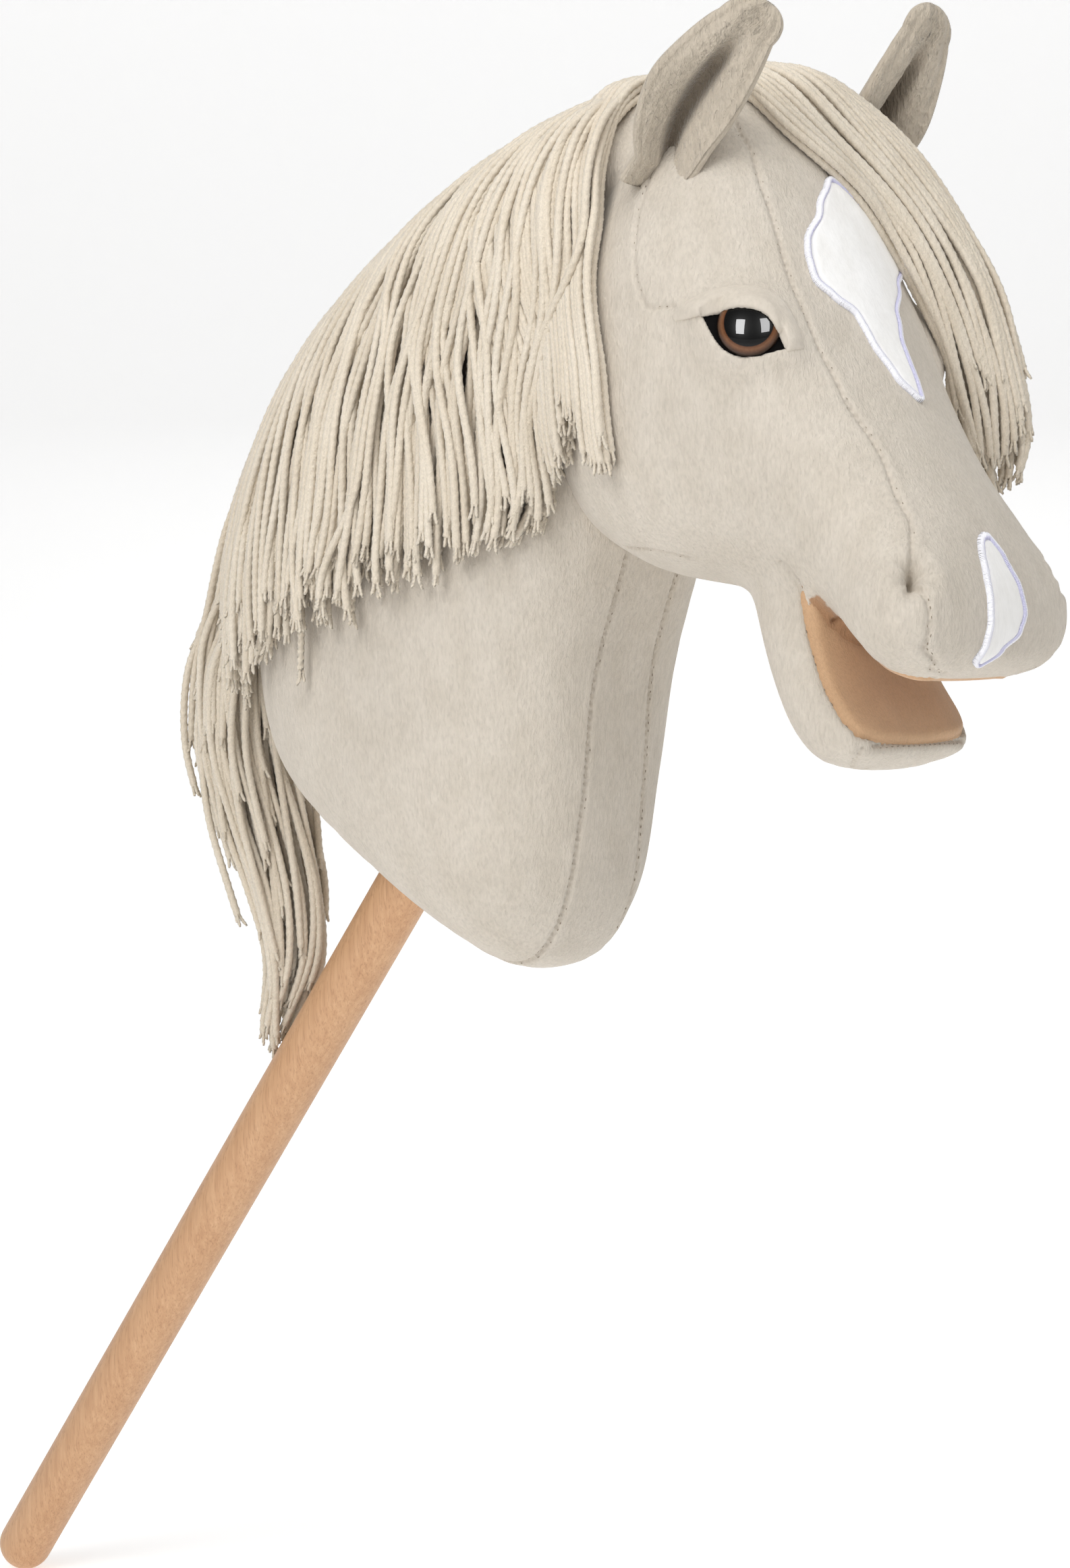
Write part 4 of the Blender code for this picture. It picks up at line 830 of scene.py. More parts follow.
HEAD_SEAMS = [(gusset_right, 0.00115), (flip(gusset_right), 0.00115), (side_right, 0.0008), (flip(side_right), 0.0008),
              (cheek_right, 0.0010), (flip(cheek_right), 0.0010), (chin_right, 0.0012), (flip(chin_right), 0.0012),
              (chin_low_right, 0.0010), (flip(chin_low_right), 0.0010), (lining_right, 0.0016),
              (flip(lining_right), 0.0016), (lining_low, 0.0014), (palate_right, 0.0014), (flip(palate_right), 0.0014),
              (chin_tip, 0.0010), (flip(chin_tip), 0.0010)]
NECK_SEAMS = [(throat_right, 0.0015), (flip(throat_right), 0.0015)]
STITCH = 0.0036

nostril = head.at(0.732, 0.92)
nostril_out = head.normal(0.732, 0.92)
NOSTRILS = [(nostril, nostril_out), (flip([nostril])[0], flip([nostril_out])[0])]


def grooved(mesh, seams, width=0.0011):
    """Draws the surface in along each seam, a little deeper at each stitch."""
    pts, depth, phase = [], [], []
    for path, d in seams:
        s = 0.0
        for i, p in enumerate(path):
            if i:
                s += float(np.linalg.norm(np.asarray(p) - np.asarray(path[i - 1])))
            pts.append(Vector(p))
            depth.append(d)
            phase.append(s)
    kd = kd_of(pts)
    co, no = coords(mesh), normals(mesh)
    for i in range(len(co)):
        _, k, dist = kd.find(Vector(co[i]))
        if dist > 0.008:
            continue
        pull = 0.5 + 0.5 * math.cos(2 * math.pi * phase[k] / STITCH)
        deep = depth[k] * (0.75 + 0.5 * pull)
        move = -deep * math.exp(-(dist / width) ** 2) + 0.30 * depth[k] * math.exp(-((dist - 0.0033) / 0.0022) ** 2)
        co[i] += no[i] * move
    set_coords(mesh, co)
    return mesh


def snapped(path, tree, out=0.0):
    done = []
    for p in path:
        loc, nor, _, _ = tree.find_nearest(Vector(p))
        done.append(np.array(loc + nor * out))
    return done


# ------------------------------------------------------------------ eye frame
eye_point = Vector(head.at(EYE_U, EYE_A))
eye_out = Vector(head.normal(EYE_U, EYE_A))
eye_up = (Vector((0, 0, 1)) - eye_out * eye_out.z).normalized()
eye_across = eye_up.cross(eye_out)
DOME_BASE = 0.0024
FELT_TOP = 0.0023
CORNER_REAR, CORNER_FRONT = (-0.0203, 0.0065), (0.0158, -0.0093)


def eye_world(x, y, h):
    return eye_point + eye_across * x + eye_up * y + eye_out * h


def almond_outline(grow=0.0, n=36):
    """Outline of the eye opening, pointed at its two corners."""
    (x0, y0), (x1, y1) = CORNER_REAR, CORNER_FRONT
    length = math.dist(CORNER_REAR, CORNER_FRONT)
    tx, ty = (x1 - x0) / length, (y1 - y0) / length
    pts = []
    for side, bulge in ((1, 0.0150), (-1, 0.0114)):
        for i in range(n):
            t = i / n if side > 0 else 1 - i / n
            h = side * bulge * math.sin(math.pi * min(1.0, max(0.0, t))) ** (1.10 if side < 0 else 0.9)
            pts.append((x0 + tx * length * t - ty * h, y0 + ty * length * t + tx * h))
    pts = np.array(pts)
    centre = np.array([-0.001, -0.001])
    way = pts - centre
    return centre + way * (1 + grow / np.linalg.norm(way, axis=1))[:, None]


ALMOND = almond_outline()


def almond_distance(x, y):
    """Distance out of the eye opening, negative inside."""
    best, inside = 1.0, False
    n = len(ALMOND)
    for i in range(n):
        ax, ay = ALMOND[i]
        bx, by = ALMOND[(i + 1) % n]
        dx, dy = bx - ax, by - ay
        t = max(0.0, min(1.0, ((x - ax) * dx + (y - ay) * dy) / (dx * dx + dy * dy + 1e-18)))
        best = min(best, math.hypot(x - ax - dx * t, y - ay - dy * t))
        if (ay > y) != (by > y) and x < ax + (y - ay) / (by - ay) * dx:
            inside = not inside
    return -best if inside else best


def shape_sockets(mesh):
    co = coords(mesh)
    for side in (1, -1):
        q = co * np.array([1, side, 1])
        d = q - np.array(eye_point)
        x, y, h = d @ np.array(eye_across), d @ np.array(eye_up), d @ np.array(eye_out)
        for i in np.nonzero((np.hypot(x, y) < 0.040) & (np.abs(h) < 0.02))[0]:
            far = almond_distance(x[i], y[i])
            w = math.exp(-(max(far, 0.0) / 0.0085) ** 2)
            rim = 0.0036 - 0.10 * max(far, 0.0)
            up = h[i] + w * (max(h[i], rim) - h[i])
            if far < 0.0006:
                k = min(1.0, (0.0006 - far) / 0.0016)
                up = up + (-0.0022 - up) * (k * k * (3 - 2 * k))
            q[i] = q[i] + np.array(eye_out) * (up - h[i])
        co = q * np.array([1, side, 1])
    set_coords(mesh, co)


# ------------------------------------------------------------------ head and jaw skin
def seam_points(seams, step=1):
    return [Vector(p) for path, _ in seams for p in list(path)[::step]]


def swelling(centre, radii, rows=18, cols=28):
    """A rounded lump of filling."""
    v, f = [tuple(centre[k] + (0, 0, radii[2])[k] for k in range(3))], []
    for i in range(1, rows):
        t = math.pi * i / rows
        for j in range(cols):
            q = 2 * math.pi * j / cols
            v.append((centre[0] + radii[0] * math.sin(t) * math.cos(q), centre[1] + radii[1] * math.sin(t) * math.sin(q),
                      centre[2] + radii[2] * math.cos(t)))
    v.append((centre[0], centre[1], centre[2] - radii[2]))
    for j in range(cols):
        k = (j + 1) % cols
        f.append((0, 1 + j, 1 + k))
        f.append((len(v) - 1, 1 + (rows - 2) * cols + k, 1 + (rows - 2) * cols + j))
        for i in range(rows - 2):
            f.append((1 + i * cols + j, 1 + (i + 1) * cols + j, 1 + (i + 1) * cols + k, 1 + i * cols + k))
    return v, f


def head_skin():
    shapes = [head.solid(-0.0010, 70, 84), jaw.solid(-0.0010, 40, 56)]
    shapes += [swelling((0.4350, y, 0.7000), (0.0270, 0.0230, 0.0245)) for y in (-0.0290, 0.0290)]
    shapes += [swelling((0.4380, y, 0.7165), (0.0230, 0.0235, 0.0215)) for y in (-0.0135, 0.0135)]
    mesh = remeshed("head_plush", shapes, 0.0040)
    co, edges = coords(mesh), edges_of(mesh)
    head_tree = tree_of(bpy_mesh(head.solid(-0.0010, 50, 56)))
    jaw_tree = tree_of(bpy_mesh(jaw.solid(-0.0010, 30, 40)))
    w = np.zeros(len(co))
    for i, p in enumerate(co):
        dh = head_tree.find_nearest(Vector(p))[3]
        dj = jaw_tree.find_nearest(Vector(p))[3]
        far = max(dh, dj)
        side = min(1.0, max(0.0, (abs(p[1]) - 0.030) / 0.012))
        behind = min(1.0, max(0.0, (0.556 - p[0]) / 0.010))
        w[i] = math.exp(-(far / 0.008) ** 2) * max(side, behind)
    co = relax(co, edges, 0.5 * w, 26)
    co = relax(co, edges, np.full(len(co), 0.35), 2)
    set_coords(mesh, co)
    kd = kd_of(seam_points(HEAD_SEAMS, 2))
    pins = np.array([kd.find(Vector(p))[2] < 0.0034 for p in co])
    mesh = stuffed(mesh, pins, 0.0032)
    mesh = subdivided(mesh, 1)
    rims = [eye_world(x, y, h) for x, y in evenly(np.vstack([ALMOND, ALMOND[:1]]), 90) for h in (-0.003, 0.0, 0.003)]
    rims += [Vector((p.x, -p.y, p.z)) for p in rims]
    kd = kd_of(seam_points(HEAD_SEAMS, 1) + rims
               + [Vector(p) + Vector((0, 0, 0.004)) * k for p, _ in NOSTRILS for k in (-2, -1, 0, 1, 2)])
    mesh = refined(mesh, kd, 0.0065)
    shape_sockets(mesh)
    mesh = refined(mesh, kd, 0.0036)
    tree = tree_of(mesh)
    seams = [(snapped(path, tree), d) for path, d in HEAD_SEAMS]
    mesh = grooved(mesh, seams)
    pinch_nostrils(mesh)
    return mesh


def bpy_mesh(shape):
    v, f = shape
    mesh = bpy.data.meshes.new("work")
    mesh.from_pydata([tuple(p) for p in v], [], [tuple(q) for q in f])
    outward(mesh)
    return mesh


def pinch_nostrils(mesh):
    """A dimple drawn in on the seam, with small folds running out of it."""
    co, no = coords(mesh), normals(mesh)
    for k, (centre, out) in enumerate(NOSTRILS):
        out = Vector(out).normalized()
        up = (Vector((0.18, 0, 1)) - out * out.dot(Vector((0.18, 0, 1)))).normalized()
        across = up.cross(out)
        near = np.nonzero(np.linalg.norm(co - np.asarray(centre), axis=1) < 0.028)[0]
        for i in near:
            d = Vector(co[i]) - Vector(centre)
            x, y = d.dot(across), d.dot(up)
            r = math.hypot(x, y)
            if abs(d.dot(out)) > 0.018:
                continue
            slit = math.hypot(x / 0.0030, y / 0.0062)
            deep = -0.0095 * math.exp(-slit ** 1.6)
            bowl = -0.0030 * math.exp(-(r / 0.0100) ** 2)
            ring = 0.0022 * math.exp(-((r - 0.0125) / 0.0050) ** 2) * (0.75 + 0.25 * math.cos(2 * math.atan2(y, x)))
            theta = math.atan2(y, x)
            folds = 0.00075 * math.sin(8 * theta + 1.3 * math.sin(2 * theta + k)) * math.exp(-((r - 0.0075) / 0.0055) ** 2)
            draw = 0.30 * math.exp(-(r / 0.0085) ** 2)
            co[i] += np.array(out * (deep + bowl + ring + folds) - (across * x) * draw - (up * y) * draw * 0.4)
    set_coords(mesh, co)


head_mesh = head_skin()
head_obj = place("head_plush_cover", head_mesh, PLUSH_MAT)
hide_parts("face_panel_right", "face_panel_left", "forehead_gusset", "chin_gusset", "head_filling", "jaw_filling")
head_tree = tree_of(head_mesh)


# ------------------------------------------------------------------ neck skin
def neck_skin():
    mesh = remeshed("neck_plush", [neck.solid(-0.0012, 70, 84)], 0.0046)
    co = coords(mesh)
    kd = kd_of(seam_points(NECK_SEAMS, 2) + [Vector(neck.at(u, math.pi)) for u in spread(0.02, 0.9, 120)])
    pins = np.array([kd.find(Vector(p))[2] < 0.0040 for p in co])
    mesh = stuffed(mesh, pins, 0.0036)
    mesh = subdivided(mesh, 1)
    kd = kd_of(seam_points(NECK_SEAMS, 1))
    mesh = refined(mesh, kd, 0.0070)
    mesh = refined(mesh, kd, 0.0038)
    tree = tree_of(mesh)
    seams = [(snapped(path, tree), d) for path, d in NECK_SEAMS]
    mesh = grooved(mesh, seams, 0.0012)
    # the hole that the stick goes up into, drawn in round its edge
    bm = bmesh.new()
    bm.from_mesh(mesh)
    gone = []
    for face in bm.faces:
        c = face.calc_center_median()
        h = c.dot(AXIS)
        if h < 0.53 and (c - AXIS * h).length < SLEEVE_BORE / 2 + 0.0030:
            gone.append(face)
    bmesh.ops.delete(bm, geom=gone, context="FACES")
    for vert in bm.verts:
        h = vert.co.dot(AXIS)
        if h < 0.53:
            r = (vert.co - AXIS * h).length
            vert.co += AXIS * 0.0060 * math.exp(-((r - 0.015) / 0.010) ** 2)
            side = AXIS.orthogonal().normalized()
            over = AXIS.cross(side)
            t = math.atan2(vert.co.dot(over), vert.co.dot(side))
            vert.co += AXIS * 0.0011 * math.sin(17 * t) * math.exp(-((r - 0.020) / 0.008) ** 2)
    bm.to_mesh(mesh)
    bm.free()
    mesh.shade_smooth()
    return mesh


neck_mesh = neck_skin()
neck_obj = place("neck_plush_cover", neck_mesh, PLUSH_MAT)
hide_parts("neck_panel_right", "neck_panel_left", "throat_gusset", "neck_filling")
neck_tree = tree_of(neck_mesh)


def rings_to_mesh(name, rings, closed_ring=True, cap=True):
    """A skin through rings of equal count."""
    rings = np.array(rings, float)
    n, m = rings.shape[:2]
    v = rings.reshape(-1, 3)
    quads = []
    for i in range(n - 1):
        for j in range(m if closed_ring else m - 1):
            k = (j + 1) % m
            quads.append((i * m + j, i * m + k, (i + 1) * m + k, (i + 1) * m + j))
    tris = []
    if cap and closed_ring:
        v = np.vstack([v, rings[0].mean(axis=0), rings[-1].mean(axis=0)])
        for j in range(m):
            k = (j + 1) % m
            tris.append((j, n * m, k))
            tris.append(((n - 1) * m + j, (n - 1) * m + k, n * m + 1))
    mesh = fast_mesh(name, v, quads, tris)
    if closed_ring:
        outward(mesh)
    return mesh


# cuff that lines the mouth of the hole, with small gathers
side_way = AXIS.orthogonal().normalized()
over_way = AXIS.cross(side_way)
profile = [(0.0182, 0.4895), (0.0176, 0.4872), (0.0164, 0.4862), (0.0154, 0.4868), (0.0149, 0.4890), (0.01475, 0.494),
           (0.01475, 0.5025), (0.0168, 0.5025), (0.0172, 0.4950)]
rings = []
for j in range(96):
    t = 2 * math.pi * j / 96
    ring = []
    for k, (rr, h) in enumerate(profile):
        wave = 0.0005 * math.sin(17 * t) if k < 4 else 0.0
        p = AXIS * (h + wave) + (side_way * math.cos(t) + over_way * math.sin(t)) * (rr + 0.4 * wave)
        ring.append(tuple(p))
    rings.append(ring)
rings.append(rings[0])
cuff = place("neck_hole_cuff", rings_to_mesh("neck_hole_cuff", rings, True, False), PLUSH_MAT)


# ------------------------------------------------------------------ mouth linings
def lining_patch(name, loft, us, half, front, rise, tree, na=44):
    rows = []
    for i, u in enumerate(us):
        row = []
        reach = half(u)
        for j in range(na + 1):
            t = 2 * j / na - 1
            a = t * reach if front else math.pi + t * (math.pi - reach)
            p = Vector(loft.at(u, a))
            n = Vector(loft.normal(u, a))
            hit = tree.ray_cast(p + n * 0.010, -n, 0.022)
            loc = hit[0] if hit[0] is not None and hit[1].dot(n) > 0.2 else p - n * 0.0014
            edge = min(1.0, (1 - abs(t)) * 8.0, (len(us) - 1 - i) * 0.30)
            row.append(loc + n * (rise * math.sin(edge * math.pi / 2) - 0.0005))
        rows.append(row)
    rows = np.array([[tuple(p) for p in row] for row in rows])
    for _ in range(3):
        rows[1:-1, 1:-1] = 0.4 * rows[1:-1, 1:-1] + 0.15 * (rows[:-2, 1:-1] + rows[2:, 1:-1] + rows[1:-1, :-2] + rows[1:-1, 2:])
    PATCH_ROWS[name] = rows
    return rings_to_mesh(name, rows, False, False)


PATCH_ROWS = {}
LINING_CLOTH = [(u if u < 0.70 else 0.70 + (u - 0.70) * 1.15, half) for u, half in LINING]
jaw_us = spread(0.02, 0.796, 66)
jaw_cloth = place("jaw_lining_cloth", lining_patch(
    "jaw_lining_cloth", jaw, jaw_us, front_edge(jaw, LINING_CLOTH, 0.0013), True, 0.0016, head_tree), TAN_MAT)
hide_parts("jaw_lining")
pal_us = spread(0.63, 0.985, 54)
palate_cloth = place("palate_lining_cloth", lining_patch(
    "palate_lining_cloth", head, pal_us, back_edge(head, UNDER, -0.0006), False, 0.0014, head_tree), TAN_MAT)
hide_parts("palate_lining")


def mark_corner():
    """Marks the part of the head's cloth that is lining, between the jaw's patch and the palate's."""
    low, high = PATCH_ROWS["jaw_lining_cloth"][1], PATCH_ROWS["palate_lining_cloth"][1]
    if low[0][1] * high[0][1] < 0:
        high = high[::-1]
    points = []
    for i in range(25):
        w = i / 24
        row = (1 - w) * low + w * high
        points += [tuple(q) for q in row[3:-3]]
    near = kd_of(points)
    co, nor = coords(head_obj.data), normals(head_obj.data)
    values = np.zeros(len(co), np.float32)
    tuck, tuck_end = np.array([0.5520, 0.0345, 0.5070]), np.array([0.5508, 0.0418, 0.5142])
    run = tuck_end - tuck
    box = np.where((co[:, 0] > 0.520) & (co[:, 0] < 0.615) & (co[:, 2] < 0.535) & (np.abs(co[:, 1]) < 0.046))[0]
    for i in box:
        dist = near.find(tuple(co[i]))[2]
        x, y, z = co[i]
        under = 0.536 < x < 0.576 and abs(y) < 0.0375 and 0.485 < z < 0.5135
        from_tuck = np.array([x, abs(y), z]) - tuck
        part = min(1.0, max(0.0, from_tuck.dot(run) / run.dot(run)))
        tucked = np.linalg.norm(from_tuck - run * part) < 0.0045
        if under or tucked or (dist < 0.0090 and abs(y) < 0.036 and abs(nor[i][1]) < 0.80):
            values[i] = 1.0
    add_float(head_obj.data, "corner", values)


mark_corner()


# ------------------------------------------------------------------ stitches
def stitch_mesh(name, seams, tree, every, size=(0.0003, 0.0008), chance=1.0):
    verts, quads, tris = [], [], []
    for path, _ in seams:
        path = evenly(np.array(path), max(4, int(length_of(np.array(path)) / every)))
        for i in range(1, len(path) - 1):
            if rng.random() > chance:
                continue
            loc, nor, _, _ = tree.find_nearest(Vector(path[i]))
            along = Vector(path[i + 1] - path[i - 1]).normalized()
            nor = nor.normalized()
            cross = along.cross(nor).normalized()
            r, h = size
            h *= rng.uniform(0.8, 1.25)
            r *= rng.uniform(0.8, 1.2)
            centre = loc + nor * r * 0.10
            k = len(verts)
            for s, q in ((-1.0, 0.25), (-0.7, 0.85), (0.0, 1.0), (0.7, 0.85), (1.0, 0.25)):
                for j in range(6):
                    t = math.pi * 2 * j / 6
                    verts.append(tuple(centre + along * (s * h) + (cross * math.cos(t) + nor * math.sin(t)) * r * q))
            for a in range(4):
                for j in range(6):
                    m = (j + 1) % 6
                    quads.append((k + a * 6 + j, k + a * 6 + m, k + (a + 1) * 6 + m, k + (a + 1) * 6 + j))
            verts.append(tuple(centre - along * h))
            verts.append(tuple(centre + along * h))
            for j in range(6):
                m = (j + 1) % 6
                tris.append((k + j, len(verts) - 2, k + m))
                tris.append((k + 24 + j, k + 24 + m, len(verts) - 1))
    return fast_mesh(name, verts, quads, tris)


low_gusset = [p for p in gusset_right if p[2] < nostril[2] - 0.006]
mid_gusset = [p for p in gusset_right if p[2] >= nostril[2] + 0.006]
marks = [(low_gusset, 0), (flip(low_gusset), 0), (lining_low, 0), (lining_right, 0), (flip(lining_right), 0)]
stitches = place("seam_stitches_face", stitch_mesh("seam_stitches_face", marks, head_tree, STITCH, (0.00025, 0.0006)),
                 THREAD_MAT)
faint = [(mid_gusset, 0), (flip(mid_gusset), 0), (side_right, 0), (flip(side_right), 0), (chin_tip, 0), (flip(chin_tip), 0),
         (cheek_right, 0), (flip(cheek_right), 0)]
stitches2 = place("seam_stitches_brow", stitch_mesh("seam_stitches_brow", faint, head_tree, STITCH, (0.00018, 0.00040), 0.45),
                  THREAD_MAT)
stitches3 = place("seam_stitches_throat", stitch_mesh("seam_stitches_throat", NECK_SEAMS, neck_tree, STITCH,
                                                      (0.00022, 0.00055), 0.75), THREAD_MAT)


# ------------------------------------------------------------------ eyes
def fluff(p, way):
    """Uneven height of brushed pile at p, stretched along way."""
    q = p * 900
    stroke = noise.noise(q - way * q.dot(way) * 0.72)
    return 0.6 * stroke + 0.4 * noise.noise(q * 2.1)


def skin_height(x, y):
    """Height of the face over the eye's plane."""
    start = eye_point + eye_across * x + eye_up * y + eye_out * 0.03
    hit = head_tree.ray_cast(start, -eye_out)
    return 0.03 - hit[3] if hit[0] is not None else -0.01


def dome_height(x, y):
    r = math.hypot(x, y) / (EYE_D / 2)
    return DOME_BASE + 0.0008 + (EYE_HEIGHT - DOME_BASE - 0.0008) * math.sqrt(max(0.0, 1 - r * r)) if r < 1 else -1


def dome_mesh(name):
    rings, rad = [], []
    prof = [(EYE_D / 2 * 0.90, DOME_BASE - 0.0012), (EYE_D / 2 - 0.0006, DOME_BASE - 0.0010),
            (EYE_D / 2, DOME_BASE), (EYE_D / 2, DOME_BASE + 0.0008)]
    n = 26
    for i in range(1, n):
        t = math.pi / 2 * i / n
        prof.append((EYE_D / 2 * math.cos(t), DOME_BASE + 0.0008 + (EYE_HEIGHT - DOME_BASE - 0.0008) * math.sin(t)))
    for r, h in prof:
        rings.append([tuple(eye_world(r * math.cos(2 * math.pi * j / 72), r * math.sin(2 * math.pi * j / 72), h))
                      for j in range(72)])
        rad += [min(1.0, r / (EYE_D / 2))] * 72
    mesh = rings_to_mesh(name, rings)
    rad += [0.95, 0.0]
    add_float(mesh, "rad", rad)
    return mesh


def felt_mesh(name):
    outline = almond_outline(0.0022)
    rings = []
    for k, h in ((1.0, -0.0012), (1.0, FELT_TOP - 0.0008), (0.985, FELT_TOP - 0.0002), (0.95, FELT_TOP), (0.85, FELT_TOP),
                 (0.7, FELT_TOP), (0.5, FELT_TOP), (0.2, FELT_TOP)):
        ring = []
        for i, (x, y) in enumerate(outline):
            bow = -0.0000 - 0.055 * max(0.0, math.hypot(x, y) * k - EYE_D / 2)
            ring.append(tuple(eye_world(x * k, y * k, h + bow)))
        rings.append(ring)
    return rings_to_mesh(name, rings)


def lid_mesh(name):
    outer = spline([(x, y, 0) for x, y in [(-0.0330, 0.0078), (-0.0240, 0.0140), (-0.0095, 0.0182), (0.0051, 0.0172),
                                           (0.0145, 0.0115), (0.0208, 0.0000), (0.0228, -0.0090)]], 110)[:, :2]
    inner = spline([(x, y, 0) for x, y in [(-0.0312, 0.0052), (-0.0205, 0.0052), (-0.0090, 0.0068), (0.0010, 0.0064),
                                           (0.0082, 0.0032), (0.0132, -0.0038), (0.0164, -0.0112)]], 110)[:, :2]
    rings = []
    cols = 20
    for i in range(110):
        o, q = outer[i], inner[i]
        w_end = min(1.0, (i + 1) / 14, (110 - i) / 9)
        ends = math.sin(math.pi / 2 * w_end)
        top, flat = [], []
        for k in range(cols):
            w = k / (cols - 1)
            x, y = o + (q - o) * w
            skin = skin_height(x, y)
            under = max(skin, dome_height(x, y) if math.hypot(x, y) < EYE_D / 2 else skin, FELT_TOP if almond_distance(x, y) < 0 else -1)
            full = math.sin(math.pi * min(1.0, 0.02 + w * 0.74)) ** 0.75
            top.append(under + (0.0030 * full * ends if k else -0.0010))
            flat.append((x, y, skin))
        top = np.array(top)
        for _ in range(60):
            mid = 0.5 * (top[:-2] + top[2:])
            top[1:-1] = np.maximum(top[1:-1], mid)
        ring = []
        way = (q - o) / max(1e-6, np.linalg.norm(q - o))
        for k, ((x, y, _), h) in enumerate(zip(flat, top)):
            p = eye_world(x, y, h)
            ring.append(tuple(p + eye_out * 0.00030 * fluff(p, eye_up) * min(1.0, k / 4)))
        x, y = q
        fat = 0.0015 * max(0.5, ends)
        for turn in (40, 75, 110, 145, 175):
            t = math.radians(turn)
            px, py = x + way[0] * fat * 0.75 * math.sin(t), y + way[1] * fat * 0.75 * math.sin(t)
            p = eye_world(px, py, top[-1] - fat + fat * math.cos(t))
            ring.append(tuple(p + (eye_across * way[0] + eye_up * way[1]) * 0.00045 * fluff(p, eye_out)))
        for k in (cols - 3, cols - 8, cols // 3, 2):
            fx, fy, skin = flat[k]
            ring.append(tuple(eye_world(fx, fy, min(skin, top[k] - 0.0012) - 0.0006)))
        rings.append(ring)
    return rings_to_mesh(name, rings)


def mirror_mesh(mesh, name):
    out = mesh.copy()
    out.name = name
    co = coords(out)
    co[:, 1] *= -1
    set_coords(out, co)
    out.flip_normals()
    return out


for kind, maker, mat, cad in (("eye_dome", dome_mesh, EYE_MAT, "eye"), ("eye_felt", felt_mesh, FELT_MAT, "eye_pad"),
                              ("eyelid_fold", lid_mesh, LID_MAT, "eyelid")):
    mesh = maker(kind + "_right")
    right = place(kind + "_right", mesh, mat)
    left = place(kind + "_left", mirror_mesh(mesh, kind + "_left"), mat)
    for obj, side in ((right, "right"), (left, "left")):
        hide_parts(cad + "_" + side)


# ------------------------------------------------------------------ white markings
def outline_of(right, left, u0, u1, scale, n):
    us = spread(u0, u1, 60)
    pts = [(u * scale, between(right, u)) for u in us] + [(u * scale, between(left, u)) for u in reversed(us)]
    pts = np.array(pts + [pts[0]])
    for _ in range(2):
        body = pts[:-1]
        body = 0.5 * body + 0.25 * (np.roll(body, 1, axis=0) + np.roll(body, -1, axis=0))
        pts = np.vstack([body, body[:1]])
    return evenly(pts, n + 1)[:-1]


def face_point(u, y, out):
    p = on_brow(u, y)
    n = Vector(head.normal(u, -head.angle_at(u, y) if y > 0 else head.angle_at(u, y)))
    loc = head_tree.find_nearest(Vector(p))[0]
    return loc + n * out


def marking_pieces(tag, right, left, u0, u1, scale):
    pts = outline_of(right, left, u0, u1, scale, 240)
    # white plush: rows across the outline, its edge rolled down under the stitching
    closed = np.vstack([pts, pts[:1]])
    lo, hi = pts[:, 0].min(), pts[:, 0].max()
    rows = []
    n_rows, n_cols = 74, 26
    for i in range(n_rows + 1):
        x = lo + 1e-5 + (hi - lo - 2e-5) * i / n_rows
        cross = []
        for (x0, y0), (x1, y1) in zip(closed, closed[1:]):
            if (x0 - x) * (x1 - x) <= 0 and x0 != x1:
                cross.append(y0 + (y1 - y0) * (x - x0) / (x1 - x0))
        y_lo, y_hi = min(cross), max(cross)
        row = []
        for j in range(n_cols + 1):
            w = j / n_cols
            y = y_lo + (y_hi - y_lo) * w
            edge = min(w, 1 - w) * (y_hi - y_lo)
            edge = min(edge, x - lo, hi - x)
            row.append(tuple(face_point(x / scale, y, -0.0004 + 0.0022 * min(1.0, edge / 0.0022) ** 0.6)))
        rows.append(row)
    patch = place(tag + "_white_plush", rings_to_mesh(tag + "_white_plush", rows, False, False), WHITE_MAT)
    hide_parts(tag + "_patch")
    # satin stitch: threads side by side across the outline
    around = length_of(np.vstack([pts, pts[:1]]))
    n = int(around / 0.00055)
    line = evenly(np.vstack([pts, pts[:1]]), n + 1)[:-1]
    verts, quads, side = [], [], []
    ahead, behind = np.roll(line, -3, axis=0), np.roll(line, 3, axis=0)
    ways = ahead - behind
    ways /= np.linalg.norm(ways, axis=1)[:, None]
    for i in range(n):
        nx, ny = ways[i][1], -ways[i][0]
        jitter = rng.uniform(-0.00010, 0.00010)
        lo, hi = -0.0011 + jitter, 0.0018 + jitter
        k = len(verts)
        steps = 8
        for a in range(steps + 1):
            w = a / steps
            d = lo + (hi - lo) * w
            x, y = line[i][0] + nx * d, line[i][1] + ny * d
            h = 0.0009 + 0.0010 * math.sin(math.pi * min(1.0, max(0.0, w))) ** 0.5
            if w in (0.0, 1.0):
                h = 0.0002
            c = face_point(x / scale, y, h)
            up = Vector(head.normal(x / scale, head.angle_at(x / scale, y) * (-1 if y > 0 else 1)))
            along = Vector(face_point((x + ways[i][0] * 0.0004) / scale, y + ways[i][1] * 0.0004, h)) - c
            along = along.normalized() if along.length > 1e-9 else Vector((0, 0, 1))
            for t in (0, 60, 120, 180, 270):
                r = 0.00036
                c2 = c + (along * math.cos(math.radians(t)) + up * math.sin(math.radians(t))) * r
                verts.append(tuple(c2))
                side.append(w)
        for a in range(steps):
            for j in range(5):
                m = (j + 1) % 5
                quads.append((k + a * 5 + j, k + a * 5 + m, k + (a + 1) * 5 + m, k + (a + 1) * 5 + j))
    mesh = fast_mesh(tag + "_satin_edge", verts, quads)
    add_float(mesh, "side", side)
    outward(mesh)
    edge = place(tag + "_satin_edge", mesh, SATIN_MAT)
    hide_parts(tag + "_edging")


